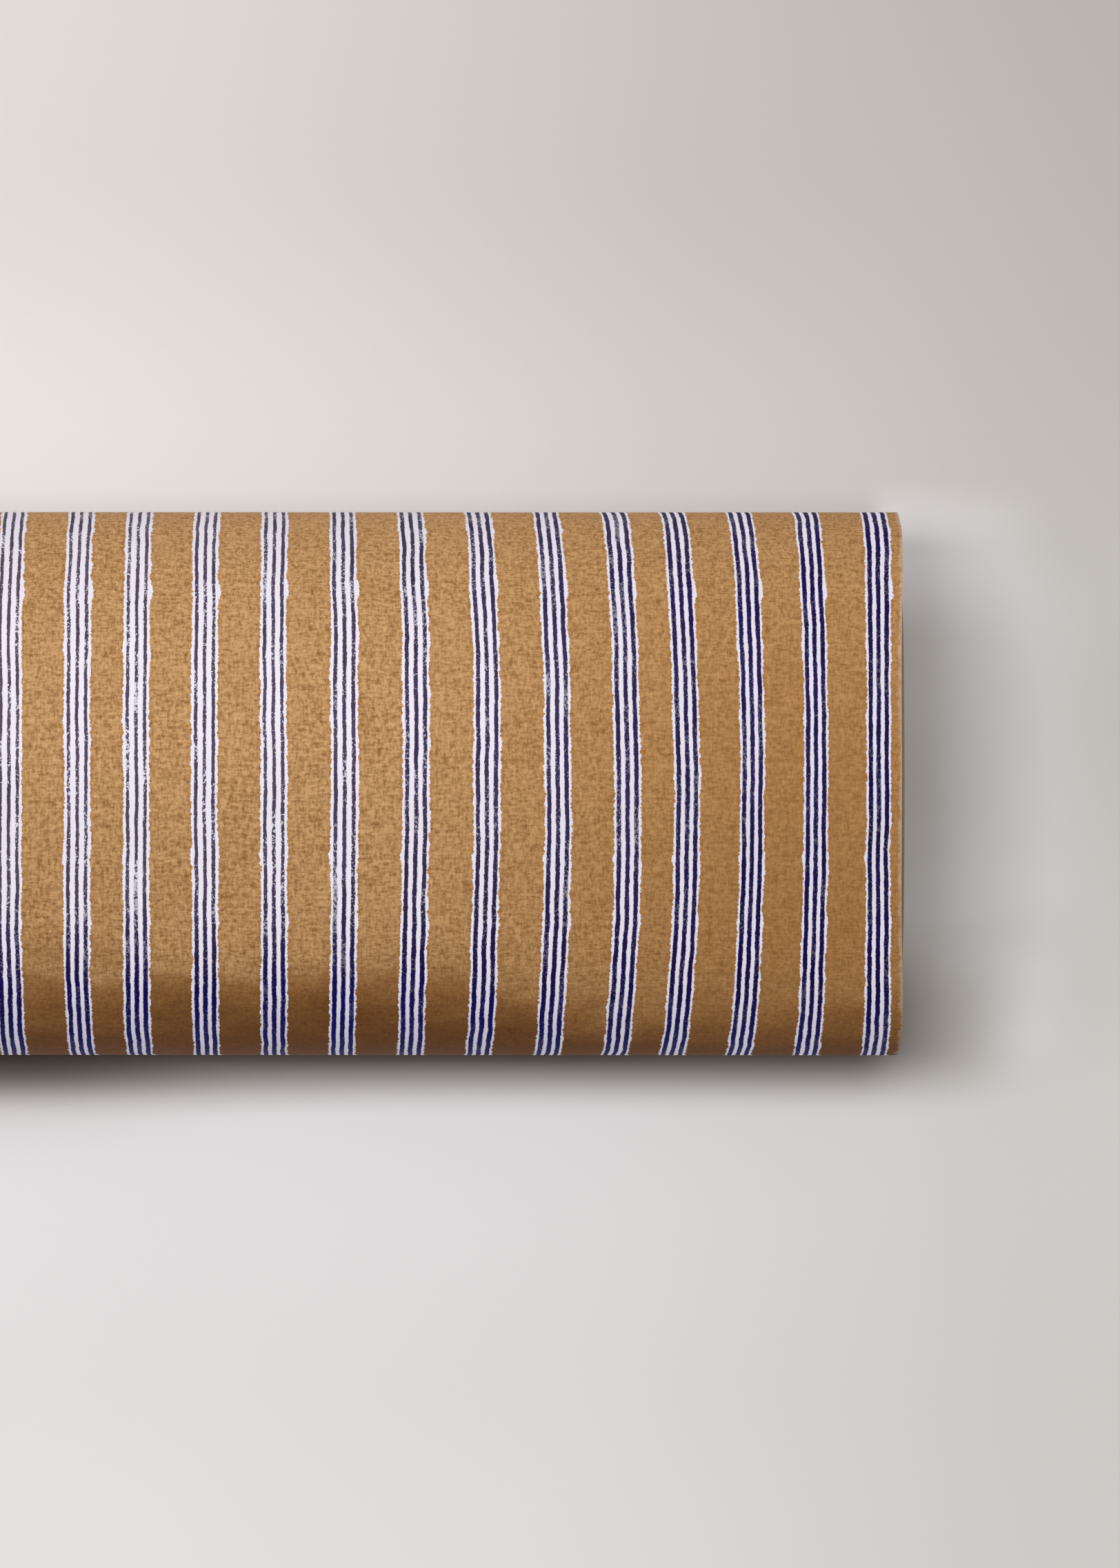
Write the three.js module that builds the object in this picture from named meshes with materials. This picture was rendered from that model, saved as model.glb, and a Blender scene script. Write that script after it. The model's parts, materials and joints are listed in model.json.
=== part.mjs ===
// A roll of gift-wrap paper: one printed sheet wound on a spiral-wound board core, lying on a table.
//
// Frame, in millimetres: +X along the roll, +Z up, -Y towards the person using it. The origin is on
// the table under the middle of the roll.
//
// A section angle is measured round the roll's axis, from straight down towards the front (-Y):
// 0 is the bottom, 90 the front, 180 the top and 270 the back. The paper winds outwards as the
// section angle grows, and its free edge ends on the back, a little above the table.
import * as THREE from 'three';

// Sheet.
const SHEET_WIDTH = 700;
const PAPER_THICKNESS = 0.125;
const LAYER_GAP = 0.025;
const ROLL_RADIUS = 25;
const RESTING_HALF_WIDTH = 3;

// Outer turn, which lifts off as a chain of strips hinged edge to edge.
const STRIP_COUNT = 7;
const STRIP_ANGLE = 40;
const UNWINDING_ANGLE = 25;
const BUTT_GAP = 0.1;

// Core: an inner liner, the body plies glued into one tube, and an outer liner.
const CORE_RADIUS = 20;
const CORE_LENGTH = 700;
const LINER_THICKNESS = 0.25;
const CORE_BODY_THICKNESS = 0.7;
const GLUE_LINE = 0.02;
const CORE_CLEARANCE = 0.1;
const LINER_ADVANCE = 90;
const LINER_SEAM_GAP = 0.4;
const LINER_TIP_WIDTH = 0.5;

// Closing tape: short tabs of clear tape over the free edge.
const TAPE_WIDTH = 19;
const TAPE_THICKNESS = 0.06;
const TAPE_REACH_ANGLE = 20;
const TAPE_SPACING = 230;

// Facets: the wound paper is finer than the core, and nested surfaces share one grid.
const PAPER_FACET = 5;
const CORE_FACET = 10;

const TURN = 360;
const TURN_UNDER_RADIUS = ROLL_RADIUS - PAPER_THICKNESS - LAYER_GAP;
const FREE_EDGE_ANGLE = UNWINDING_ANGLE + STRIP_COUNT * STRIP_ANGLE;
const AXIS_HEIGHT = Math.sqrt(turnRadius(0) ** 2 - RESTING_HALF_WIDTH ** 2);

const printedPaper = { color: 0xb58c5e, roughness: 0.6, metalness: 0 };
const woundPaper = { color: 0xa9814f, roughness: 0.65, metalness: 0 };
const coreBoard = { color: 0x9c8468, roughness: 0.9, metalness: 0 };
const clearTape = { color: 0xe9e4d2, roughness: 0.25, metalness: 0 };

/** Point of the section at a radius and a section angle, with the roll's axis at the origin. */
function sectionPoint(radius, degrees) {
  const angle = THREE.MathUtils.degToRad(degrees);
  return new THREE.Vector2(-radius * Math.sin(angle), -radius * Math.cos(angle));
}

/** Section angle that a short length covers at the outside of the roll. */
function angleOfLength(length) {
  return THREE.MathUtils.radToDeg(length / ROLL_RADIUS);
}

/** Section angles from one to another, with every multiple of the facet between them. */
function facetAngles(from, to, facet) {
  const angles = [from];
  for (let angle = Math.floor(from / facet) * facet + facet; angle < to; angle += facet) {
    angles.push(angle);
  }
  angles.push(to);
  return angles;
}

/** Solid of a section, centred on the middle of the roll's length. */
function extrudeSection(shape, length) {
  const geometry = new THREE.ExtrudeGeometry(shape, { depth: length, bevelEnabled: false });
  geometry.translate(0, 0, -length / 2);
  return geometry;
}

/** Full ring of section points at one radius, clockwise as an outline is. */
function ringPoints(radius, facet) {
  const points = [];
  for (let angle = 0; angle < TURN; angle += facet) {
    points.push(sectionPoint(radius, angle));
  }
  return points;
}

/** Round hole of a section, which runs the other way from its outline. */
function roundHole(radius, facet) {
  return new THREE.Path(ringPoints(radius, facet).reverse());
}

/** Tube between two radii. */
function tube(innerRadius, outerRadius, length, facet) {
  const shape = new THREE.Shape(ringPoints(outerRadius, facet));
  shape.holes.push(roundHole(innerRadius, facet));
  return extrudeSection(shape, length);
}

/** Curved plate between two radii and two section angles. */
function curvedPlate(innerRadius, outerRadius, from, to, length) {
  const angles = facetAngles(from, to, PAPER_FACET);
  const outside = angles.map((angle) => sectionPoint(outerRadius, angle));
  const inside = angles.map((angle) => sectionPoint(innerRadius, angle)).reverse();
  return extrudeSection(new THREE.Shape([...outside, ...inside]), length);
}

/**
 * Outer radius of the turns that stay on the roll. The last of them rises from under the free edge,
 * past the bottom, to the line where the outer turn lifts off.
 */
function turnRadius(angle) {
  const behindFreeEdge = FREE_EDGE_ANGLE - TURN;
  const rise = (angle - behindFreeEdge) / (UNWINDING_ANGLE - behindFreeEdge);
  return TURN_UNDER_RADIUS + (ROLL_RADIUS - TURN_UNDER_RADIUS) * rise;
}

/** The wound turns, flattened along the line that they lie on. */
function woundSheet() {
  const outline = [];
  for (const angle of facetAngles(FREE_EDGE_ANGLE - TURN, UNWINDING_ANGLE, PAPER_FACET)) {
    const point = sectionPoint(turnRadius(angle), angle);
    if (Math.abs(point.x) > RESTING_HALF_WIDTH) {
      outline.push(point);
    } else if (angle === 0) {
      outline.push(new THREE.Vector2(RESTING_HALF_WIDTH, -AXIS_HEIGHT));
      outline.push(new THREE.Vector2(-RESTING_HALF_WIDTH, -AXIS_HEIGHT));
    }
  }
  for (const angle of facetAngles(UNWINDING_ANGLE, FREE_EDGE_ANGLE, PAPER_FACET).slice(0, -1)) {
    outline.push(sectionPoint(TURN_UNDER_RADIUS, angle));
  }
  const shape = new THREE.Shape(outline);
  shape.holes.push(roundHole(CORE_RADIUS + CORE_CLEARANCE, PAPER_FACET));
  return extrudeSection(shape, SHEET_WIDTH);
}

/** One strip of the outer turn, short of its neighbours by half the butt gap at each edge. */
function outerTurnStrip(index) {
  const from = UNWINDING_ANGLE + index * STRIP_ANGLE;
  const trim = angleOfLength(BUTT_GAP / 2);
  const innerRadius = ROLL_RADIUS - PAPER_THICKNESS;
  return curvedPlate(innerRadius, ROLL_RADIUS, from + trim, from + STRIP_ANGLE - trim, SHEET_WIDTH);
}

/**
 * One liner of the core: a strip wound in a helix, its edges butted at a seam, and cut square at
 * both ends of the tube. Each ring holds the strip's four corners at one section angle.
 */
function helicalLiner(innerRadius, seamAngle) {
  const outerRadius = innerRadius + LINER_THICKNESS;
  const halfLength = CORE_LENGTH / 2;
  const lastAngle = seamAngle + (CORE_LENGTH / LINER_ADVANCE + 1) * TURN;
  const rings = [];
  for (let angle = seamAngle; angle < lastAngle; angle += CORE_FACET) {
    const seam = -halfLength - LINER_ADVANCE + (LINER_ADVANCE * (angle - seamAngle)) / TURN;
    const near = Math.max(-halfLength, seam + LINER_SEAM_GAP / 2);
    const far = Math.min(halfLength, seam + LINER_ADVANCE - LINER_SEAM_GAP / 2);
    if (far - near > LINER_TIP_WIDTH) {
      const inner = sectionPoint(innerRadius, angle);
      const outer = sectionPoint(outerRadius, angle);
      rings.push([
        [inner.x, inner.y, near],
        [outer.x, outer.y, near],
        [outer.x, outer.y, far],
        [inner.x, inner.y, far],
      ]);
    }
  }
  return loftRings(rings);
}

/** Closed solid through rings of four corners. */
function loftRings(rings) {
  const corners = 4;
  const last = (rings.length - 1) * corners;
  const index = [0, 3, 2, 0, 2, 1, last, last + 1, last + 2, last, last + 2, last + 3];
  for (let ring = 0; ring < rings.length - 1; ring += 1) {
    const here = ring * corners;
    const next = here + corners;
    for (let corner = 0; corner < corners; corner += 1) {
      const other = (corner + 1) % corners;
      index.push(here + corner, here + other, next + other);
      index.push(here + corner, next + other, next + corner);
    }
  }
  const geometry = new THREE.BufferGeometry();
  geometry.setAttribute('position', new THREE.Float32BufferAttribute(rings.flat(2), 3));
  geometry.setIndex(index);
  geometry.computeVertexNormals();
  return geometry;
}

/** A tab of tape over the free edge, half on the outer turn and half on the turn under it. */
function closingTape() {
  const innerRadius = ROLL_RADIUS + GLUE_LINE;
  const from = FREE_EDGE_ANGLE - TAPE_REACH_ANGLE;
  const to = FREE_EDGE_ANGLE + TAPE_REACH_ANGLE;
  return curvedPlate(innerRadius, innerRadius + TAPE_THICKNESS, from, to, TAPE_WIDTH);
}

// The section's plane is the world's YZ plane, and its extrusion runs along world X.
const roll = new THREE.Group();
const sectionToWorld = new THREE.Matrix4().makeBasis(
  new THREE.Vector3(0, 1, 0),
  new THREE.Vector3(0, 0, 1),
  new THREE.Vector3(1, 0, 0),
);
const section = new THREE.Group();
section.quaternion.setFromRotationMatrix(sectionToWorld);
section.position.set(0, 0, AXIS_HEIGHT);
roll.add(section);

/** Adds a named piece to the roll, at a distance along its axis. */
function addPiece(name, geometry, finish, along = 0) {
  const mesh = new THREE.Mesh(geometry, new THREE.MeshStandardMaterial(finish));
  mesh.name = name;
  mesh.position.z = along;
  section.add(mesh);
}

// Core, from the outside in.
const outerLinerRadius = CORE_RADIUS - LINER_THICKNESS;
const coreBodyOuterRadius = outerLinerRadius - GLUE_LINE;
const coreBodyInnerRadius = coreBodyOuterRadius - CORE_BODY_THICKNESS;
const innerLinerRadius = coreBodyInnerRadius - GLUE_LINE - LINER_THICKNESS;
const coreBody = tube(coreBodyInnerRadius, coreBodyOuterRadius, CORE_LENGTH, CORE_FACET);
addPiece('core_outer_liner', helicalLiner(outerLinerRadius, 0), coreBoard);
addPiece('core_body', coreBody, coreBoard);
addPiece('core_inner_liner', helicalLiner(innerLinerRadius, TURN / 2), coreBoard);

// Sheet: the turns that stay on the roll, and the outer turn.
addPiece('wound_sheet', woundSheet(), woundPaper);
for (let index = 0; index < STRIP_COUNT; index += 1) {
  addPiece(`outer_turn_${index + 1}`, outerTurnStrip(index), printedPaper);
}

// Closing tape.
['left', 'middle', 'right'].forEach((place, index) => {
  addPiece(`closing_tape_${place}`, closingTape(), clearTape, (index - 1) * TAPE_SPACING);
});

export default roll;
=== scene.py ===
"""Looks of a roll of gift-wrap paper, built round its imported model.

Metres, with +X along the roll, +Z up and -Y towards the person who unrolls it. A section angle is
measured in degrees round the roll's axis: 0 is the bottom, 90 the front, 180 the top, 270 the back.
The sheet winds outwards as the section angle grows, and its printed side faces out.
"""
import json
import logging
import math
from dataclasses import dataclass
from enum import Enum
from typing import NamedTuple, Sequence

import bmesh
import bpy
import numpy as np
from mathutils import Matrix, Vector

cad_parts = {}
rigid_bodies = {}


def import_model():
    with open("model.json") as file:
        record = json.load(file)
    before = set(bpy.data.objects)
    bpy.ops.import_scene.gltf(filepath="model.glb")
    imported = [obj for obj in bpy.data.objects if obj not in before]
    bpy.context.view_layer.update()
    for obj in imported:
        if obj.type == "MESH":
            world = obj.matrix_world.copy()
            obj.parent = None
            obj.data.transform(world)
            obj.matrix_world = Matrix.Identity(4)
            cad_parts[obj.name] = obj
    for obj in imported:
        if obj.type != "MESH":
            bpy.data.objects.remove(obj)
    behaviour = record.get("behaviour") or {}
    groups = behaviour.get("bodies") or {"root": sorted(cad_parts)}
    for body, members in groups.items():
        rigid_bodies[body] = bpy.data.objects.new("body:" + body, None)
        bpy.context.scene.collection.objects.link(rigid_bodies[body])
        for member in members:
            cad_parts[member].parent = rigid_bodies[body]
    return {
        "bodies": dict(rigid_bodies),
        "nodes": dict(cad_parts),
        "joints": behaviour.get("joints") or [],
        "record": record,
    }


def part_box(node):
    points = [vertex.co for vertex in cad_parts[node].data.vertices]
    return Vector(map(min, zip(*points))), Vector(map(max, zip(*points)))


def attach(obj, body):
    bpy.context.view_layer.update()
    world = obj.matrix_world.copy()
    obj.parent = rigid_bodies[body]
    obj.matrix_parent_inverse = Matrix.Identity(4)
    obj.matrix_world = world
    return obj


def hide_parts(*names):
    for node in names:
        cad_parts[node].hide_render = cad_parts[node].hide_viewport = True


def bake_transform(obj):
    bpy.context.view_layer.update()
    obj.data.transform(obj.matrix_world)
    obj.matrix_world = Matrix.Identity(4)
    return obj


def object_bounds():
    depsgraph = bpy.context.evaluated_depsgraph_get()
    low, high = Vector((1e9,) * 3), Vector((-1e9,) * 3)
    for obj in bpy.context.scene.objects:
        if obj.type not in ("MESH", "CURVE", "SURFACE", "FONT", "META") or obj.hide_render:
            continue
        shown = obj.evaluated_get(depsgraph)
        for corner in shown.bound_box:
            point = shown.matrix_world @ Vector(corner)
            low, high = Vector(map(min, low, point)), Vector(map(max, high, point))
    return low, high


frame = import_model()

LOG = logging.getLogger("wrapping_paper_roll")
CAD_BOX = [list(corner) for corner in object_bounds()]
MM = 0.001
FULL_TURN = 360.0
TOP = 180.0


# ---------------------------------------------------------------------------------------------
# Where things are
# ---------------------------------------------------------------------------------------------


class Side(Enum):
    """Which face of the paper, in the order of a sheet's material slots."""

    PRINTED = 0
    REVERSE = 1
    CUT = 2


@dataclass(frozen=True)
class RollPlace:
    """The roll's place and sizes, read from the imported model.

    Attributes:
        radius: Outside of the paper.
        axis_height: Height of the roll's axis over the table.
        half_length: Half the sheet's width, along X.
        lift_angle: Section angle where the outer turn leaves the roll.
        strip_angle: Section angle that each hinged strip covers.
        strip_count: How many strips the outer turn has.
    """

    radius: float
    axis_height: float
    half_length: float
    lift_angle: float
    strip_angle: float
    strip_count: int

    @classmethod
    def from_frame(cls, model: dict) -> "RollPlace":
        """Reads the place from the model's box and its hinges.


        Returns:
            The roll's place.
        """
        high = Vector(CAD_BOX[1])
        axis_height = high.z - high.y
        hinges = [joint["pos_m"] for joint in model["joints"] if joint["type"] == "hinge"]
        first, second = (
            math.degrees(math.atan2(-y, axis_height - z)) for _, y, z in hinges[:2]
        )
        return cls(high.y, axis_height, high.x, first, second - first, len(hinges))

    @property
    def free_edge_angle(self) -> float:
        """Section angle of the sheet's free edge."""
        return self.lift_angle + self.strip_angle * self.strip_count

    def section(self, radius: np.ndarray, angle: np.ndarray) -> tuple[np.ndarray, np.ndarray]:
        """Y and Z of points at a radius and a section angle.

        Args:
            radius: Distances from the axis.
            angle: Section angles, in degrees.

        Returns:
            The Y and Z coordinates.
        """
        turn = np.radians(angle)
        return -radius * np.sin(turn), self.axis_height - radius * np.cos(turn)

    def point(self, radius: float, angle: float, along: float = 0.0) -> Vector:
        """One point at a radius, a section angle and a place along the roll.

        Args:
            radius: Distance from the axis.
            angle: Section angle, in degrees.
            along: X coordinate.

        Returns:
            The point.
        """
        y, z = self.section(np.array(radius), np.array(angle))
        return Vector((along, float(y), float(z)))

    @property
    def table_radius(self) -> float:
        """Radius of what touches the table, a hair under the outer turn's."""
        return self.radius - 0.1 * MM

    def length_from_free_edge(self, angle: np.ndarray) -> np.ndarray:
        """Length of sheet between the free edge and winding angles."""
        return self.radius * np.radians(self.free_edge_angle - angle)


@dataclass(frozen=True)
class Sheet:
    """The one sheet of paper, rolled up.

    Attributes:
        thickness: Thickness of the paper.
        pitch: Growth of the radius in one turn, the paper and the air on it.
        core_radius: Outside of the core that it is wound on.
        step: Section angle between rows of the mesh on the inner turns.
        columns: Faces along the sheet's width.
    """

    thickness: float = 0.125 * MM
    pitch: float = 0.139 * MM
    core_radius: float = 20.05 * MM
    step: float = 4.0
    columns: int = 105

    def outer_radius(self, place: RollPlace, angle: np.ndarray) -> np.ndarray:
        """Radius of the printed side at a winding angle, which grows by the pitch each turn."""
        return place.radius - self.pitch * (place.free_edge_angle - angle) / FULL_TURN


# ---------------------------------------------------------------------------------------------
# Shader nodes
# ---------------------------------------------------------------------------------------------

Socket = bpy.types.NodeSocket
Value = float | Socket
Colour = tuple[float, float, float]


class Fade(NamedTuple):
    """A smooth change of a value between two places.

    Attributes:
        low: Where it starts.
        high: Where it ends.
        to_low: Value at and before low.
        to_high: Value at and after high.
    """

    low: float
    high: float
    to_low: float = 0.0
    to_high: float = 1.0


class NodeBuilder:
    """Adds nodes to one tree and joins them."""

    def __init__(self, tree: bpy.types.NodeTree) -> None:
        """Keeps the tree that nodes are added to."""
        self.tree = tree

    def node(self, kind: str, inputs: dict | None = None, **settings: object) -> bpy.types.Node:
        """Adds one node.

        Args:
            kind: The node's type name.
            inputs: Values or sockets for its inputs, by name or number.
            **settings: Properties of the node.

        Returns:
            The node.
        """
        made = self.tree.nodes.new(kind)
        for name, setting in settings.items():
            setattr(made, name, setting)
        for name, value in (inputs or {}).items():
            self.feed(made.inputs[name], value)
        return made

    def feed(self, socket: Socket, value: object) -> None:
        """Joins a socket to an input, or sets the input's value.

        Args:
            socket: The input.
            value: A socket, a number or a colour.
        """
        if isinstance(value, bpy.types.NodeSocket):
            self.tree.links.new(value, socket)
        elif socket.type == "RGBA" and len(value) == 3:
            socket.default_value = (*value, 1.0)
        else:
            socket.default_value = value

    def math(self, operation: str, *values: Value, clamp: bool = False) -> Socket:
        """Adds a math node.

        Args:
            operation: The operation's name.
            *values: Its inputs in order.
            clamp: Whether its output is held between 0 and 1.

        Returns:
            The result's socket.
        """
        inputs = dict(enumerate(values))
        return self.node("ShaderNodeMath", inputs, operation=operation, use_clamp=clamp).outputs[0]

    def sum(self, *values: Value) -> Socket:
        """Adds up several values.

        Args:
            *values: Numbers or sockets.

        Returns:
            The sum's socket.
        """
        total = values[0]
        for value in values[1:]:
            total = self.math("ADD", total, value)
        return total

    def product(self, *values: Value) -> Socket:
        """Multiplies several values.

        Args:
            *values: Numbers or sockets.

        Returns:
            The product's socket.
        """
        total = values[0]
        for value in values[1:]:
            total = self.math("MULTIPLY", total, value)
        return total

    def ramp(
        self, value: Value, low: float, high: float, to_low: float = 0.0, to_high: float = 1.0
    ) -> Socket:
        """Smooth step of a value between two limits.

        Args:
            value: What is mapped.
            low: Value that gives to_low.
            high: Value that gives to_high.
            to_low: Result at and before low.
            to_high: Result at and after high.

        Returns:
            The result's socket.
        """
        inputs = {0: value, 1: low, 2: high, 3: to_low, 4: to_high}
        mapped = self.node("ShaderNodeMapRange", inputs, interpolation_type="SMOOTHSTEP")
        return mapped.outputs[0]

    def vector(self, x: Value, y: Value = 0.0, z: Value = 0.0) -> Socket:
        """Joins three values into a vector."""
        return self.node("ShaderNodeCombineXYZ", {0: x, 1: y, 2: z}).outputs[0]

    def split(self, vector: Socket) -> tuple[Socket, Socket, Socket]:
        """Splits a vector into its three values."""
        parts = self.node("ShaderNodeSeparateXYZ", {0: vector}).outputs
        return parts[0], parts[1], parts[2]

    def noise(
        self, vector: Socket, scale: float, detail: float = 2.0, roughness: float = 0.5
    ) -> Socket:
        """Noise from -0.5 to 0.5.

        Args:
            vector: Where it is read.
            scale: Features in one unit of the vector.
            detail: Octaves.
            roughness: Share that each octave keeps.

        Returns:
            The result's socket.
        """
        inputs = {"Vector": vector, "Scale": scale, "Detail": detail, "Roughness": roughness}
        made = self.node("ShaderNodeTexNoise", inputs)
        return self.math("SUBTRACT", made.outputs[0], 0.5)

    def streaks(
        self,
        first: tuple[Value, float],
        second: tuple[Value, float],
        third: Value = 0.0,
        detail: float = 2.0,
        roughness: float = 0.5,
    ) -> Socket:
        """Noise with its own spacing in each of two directions.

        Args:
            first: A distance, and the features in one unit of it.
            second: The same for the other direction.
            third: Sets noises apart that share their distances.
            detail: Octaves.
            roughness: Share that each octave keeps.

        Returns:
            The result's socket.
        """
        where = self.vector(self.product(*first), self.product(*second), third)
        return self.noise(where, 1.0, detail, roughness)

    def mix(self, factor: Value, first: object, second: object) -> Socket:
        """Mixes two colours.

        Args:
            factor: Share of the second colour.
            first: A colour or a socket.
            second: A colour or a socket.

        Returns:
            The mixed colour's socket.
        """
        made = self.node("ShaderNodeMix", data_type="RGBA")
        self.feed(made.inputs[0], factor)
        self.feed(made.inputs[6], first)
        self.feed(made.inputs[7], second)
        return made.outputs[2]

    def scaled_colour(self, colour: object, brightness: Socket) -> Socket:
        """Multiplies a colour by one brightness, or by one for each channel.

        Args:
            colour: A colour or a socket.
            brightness: A value's socket, or a vector's with one value for each channel.

        Returns:
            The scaled colour's socket.
        """
        one_value = brightness.type == "VALUE"
        grey = self.vector(brightness, brightness, brightness) if one_value else brightness
        made = self.node("ShaderNodeMix", data_type="RGBA", blend_type="MULTIPLY")
        self.feed(made.inputs[0], 1.0)
        self.feed(made.inputs[6], colour)
        self.feed(made.inputs[7], grey)
        return made.outputs[2]


@dataclass(frozen=True)
class GroupSocket:
    """One named input or output of a node group.

    Attributes:
        name: Its name.
        kind: Its socket type.
        default: What a number reads as when nothing is joined to it.
    """

    name: str
    kind: str = "NodeSocketFloat"
    default: float = 0.0


class EffectGroup:
    """A surface effect kept as a shader node group, which is built once.

    Attributes:
        title: The group's name.
        inputs: Its inputs.
        outputs: Its outputs.
    """

    title: str = ""
    inputs: Sequence[GroupSocket] = ()
    outputs: Sequence[GroupSocket] = ()

    def tree(self) -> bpy.types.NodeTree:
        """The group's tree, built when it is first asked for."""
        found = bpy.data.node_groups.get(self.title)
        return found or self._build()

    def _build(self) -> bpy.types.NodeTree:
        """Makes the group's sockets and nodes.

        Returns:
            The group's tree.
        """
        tree = bpy.data.node_groups.new(self.title, "ShaderNodeTree")
        for way, sockets in (("INPUT", self.inputs), ("OUTPUT", self.outputs)):
            for socket in sockets:
                made = tree.interface.new_socket(socket.name, in_out=way, socket_type=socket.kind)
                if way == "INPUT" and socket.kind == "NodeSocketFloat":
                    made.default_value = socket.default
        build = NodeBuilder(tree)
        source = build.node("NodeGroupInput").outputs
        results = self.nodes(build, {socket.name: source[socket.name] for socket in self.inputs})
        sink = build.node("NodeGroupOutput")
        for name, value in results.items():
            build.feed(sink.inputs[name], value)
        return tree

    def nodes(self, build: NodeBuilder, given: dict[str, Socket]) -> dict[str, Socket]:
        """Makes the effect's nodes.

        Args:
            build: Adds nodes to the group's tree.
            given: The group's inputs by name.

        Returns:
            The group's outputs by name.
        """
        raise NotImplementedError

    def place(self, build: NodeBuilder, **values: object) -> dict[str, Socket]:
        """Puts the group into a material.

        Args:
            build: Adds nodes to the material's tree.
            **values: The group's inputs, with _ for each space in a name.

        Returns:
            The group's outputs by name.
        """
        node = build.node("ShaderNodeGroup", node_tree=self.tree())
        for name, value in values.items():
            build.feed(node.inputs[name.replace("_", " ")], value)
        return {socket.name: node.outputs[socket.name] for socket in self.outputs}


VECTOR = "NodeSocketVector"


class PaperFibre(EffectGroup):
    """Short fibres and slow cloudiness in paper or board."""

    title = "paper_fibre"
    inputs = (GroupSocket("Vector", VECTOR), GroupSocket("Density", default=1.0))
    outputs = (GroupSocket("Tone"), GroupSocket("Height"))

    def nodes(self, build: NodeBuilder, given: dict[str, Socket]) -> dict[str, Socket]:
        """Fibres as two crossed, stretched noises over a slow cloud; see EffectGroup.nodes."""
        u, v, w = build.split(given["Vector"])
        density = given["Density"]
        along = build.vector(build.product(u, density), build.product(v, density, 4.0), w)
        across = build.vector(build.product(u, density, 4.0), build.product(v, density), w)
        fine = build.sum(build.noise(along, 2200.0, 3.0), build.noise(across, 2200.0, 3.0))
        cloud = build.noise(given["Vector"], 90.0, 3.0)
        tone = build.sum(build.product(fine, 0.6), cloud)
        return {"Tone": tone, "Height": fine}


class LinenPrint(EffectGroup):
    """Woven cloth as it is printed: warp and weft threads, slubs, flecks and soft blotches.

    Attributes:
        fine: Threads in one metre.
        run: Lengths of thread between crossings, in one metre.
        slub_width: Slubs side by side in one metre.
        slub_run: Slubs end to end in one metre.
        slub_share: Strength of the slubs beside the threads.
        blotch_width: Blotches in one metre along the roll.
        blotch_run: Blotches in one metre round it.
        cloud: Wider clouds in one metre.
        cloud_share: Strength of the clouds beside the blotches.
        fleck_width: Flecks in one metre along the roll.
        fleck_run: Flecks in one metre round it.
    """

    title = "linen_print"
    inputs = (GroupSocket("Vector", VECTOR),)
    outputs = (GroupSocket("Thread"), GroupSocket("Blotch"), GroupSocket("Fleck"))
    fine = 4000.0
    run = 1500.0
    slub_width = 1900.0
    slub_run = 420.0
    slub_share = 0.42
    blotch_width = 330.0
    blotch_run = 210.0
    cloud = 70.0
    cloud_share = 0.8
    fleck_width = 2300.0
    fleck_run = 1900.0

    def nodes(self, build: NodeBuilder, given: dict[str, Socket]) -> dict[str, Socket]:
        """Threads as noises stretched along and across the sheet; see EffectGroup.nodes."""
        u, v, _ = build.split(given["Vector"])
        fine, run, slub_width, slub_run = self.fine, self.run, self.slub_width, self.slub_run
        warp = build.streaks((u, fine), (v, run), roughness=0.65)
        weft = build.streaks((u, run), (v, fine), 9.0, roughness=0.65)
        slub = build.streaks((u, slub_width), (v, slub_run), 4.0)
        cross = build.streaks((u, slub_run), (v, slub_width), 14.0)
        thread = build.sum(warp, weft, build.product(build.sum(slub, cross), self.slub_share))
        soft = build.streaks((u, self.blotch_width), (v, self.blotch_run), 21.0, 3.0, 0.6)
        cloud = build.noise(given["Vector"], self.cloud)
        blotch = build.sum(soft, build.product(cloud, self.cloud_share))
        fleck = build.streaks((u, self.fleck_width), (v, self.fleck_run), 33.0, 3.0, 0.7)
        return {"Thread": thread, "Blotch": blotch, "Fleck": fleck}


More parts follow.
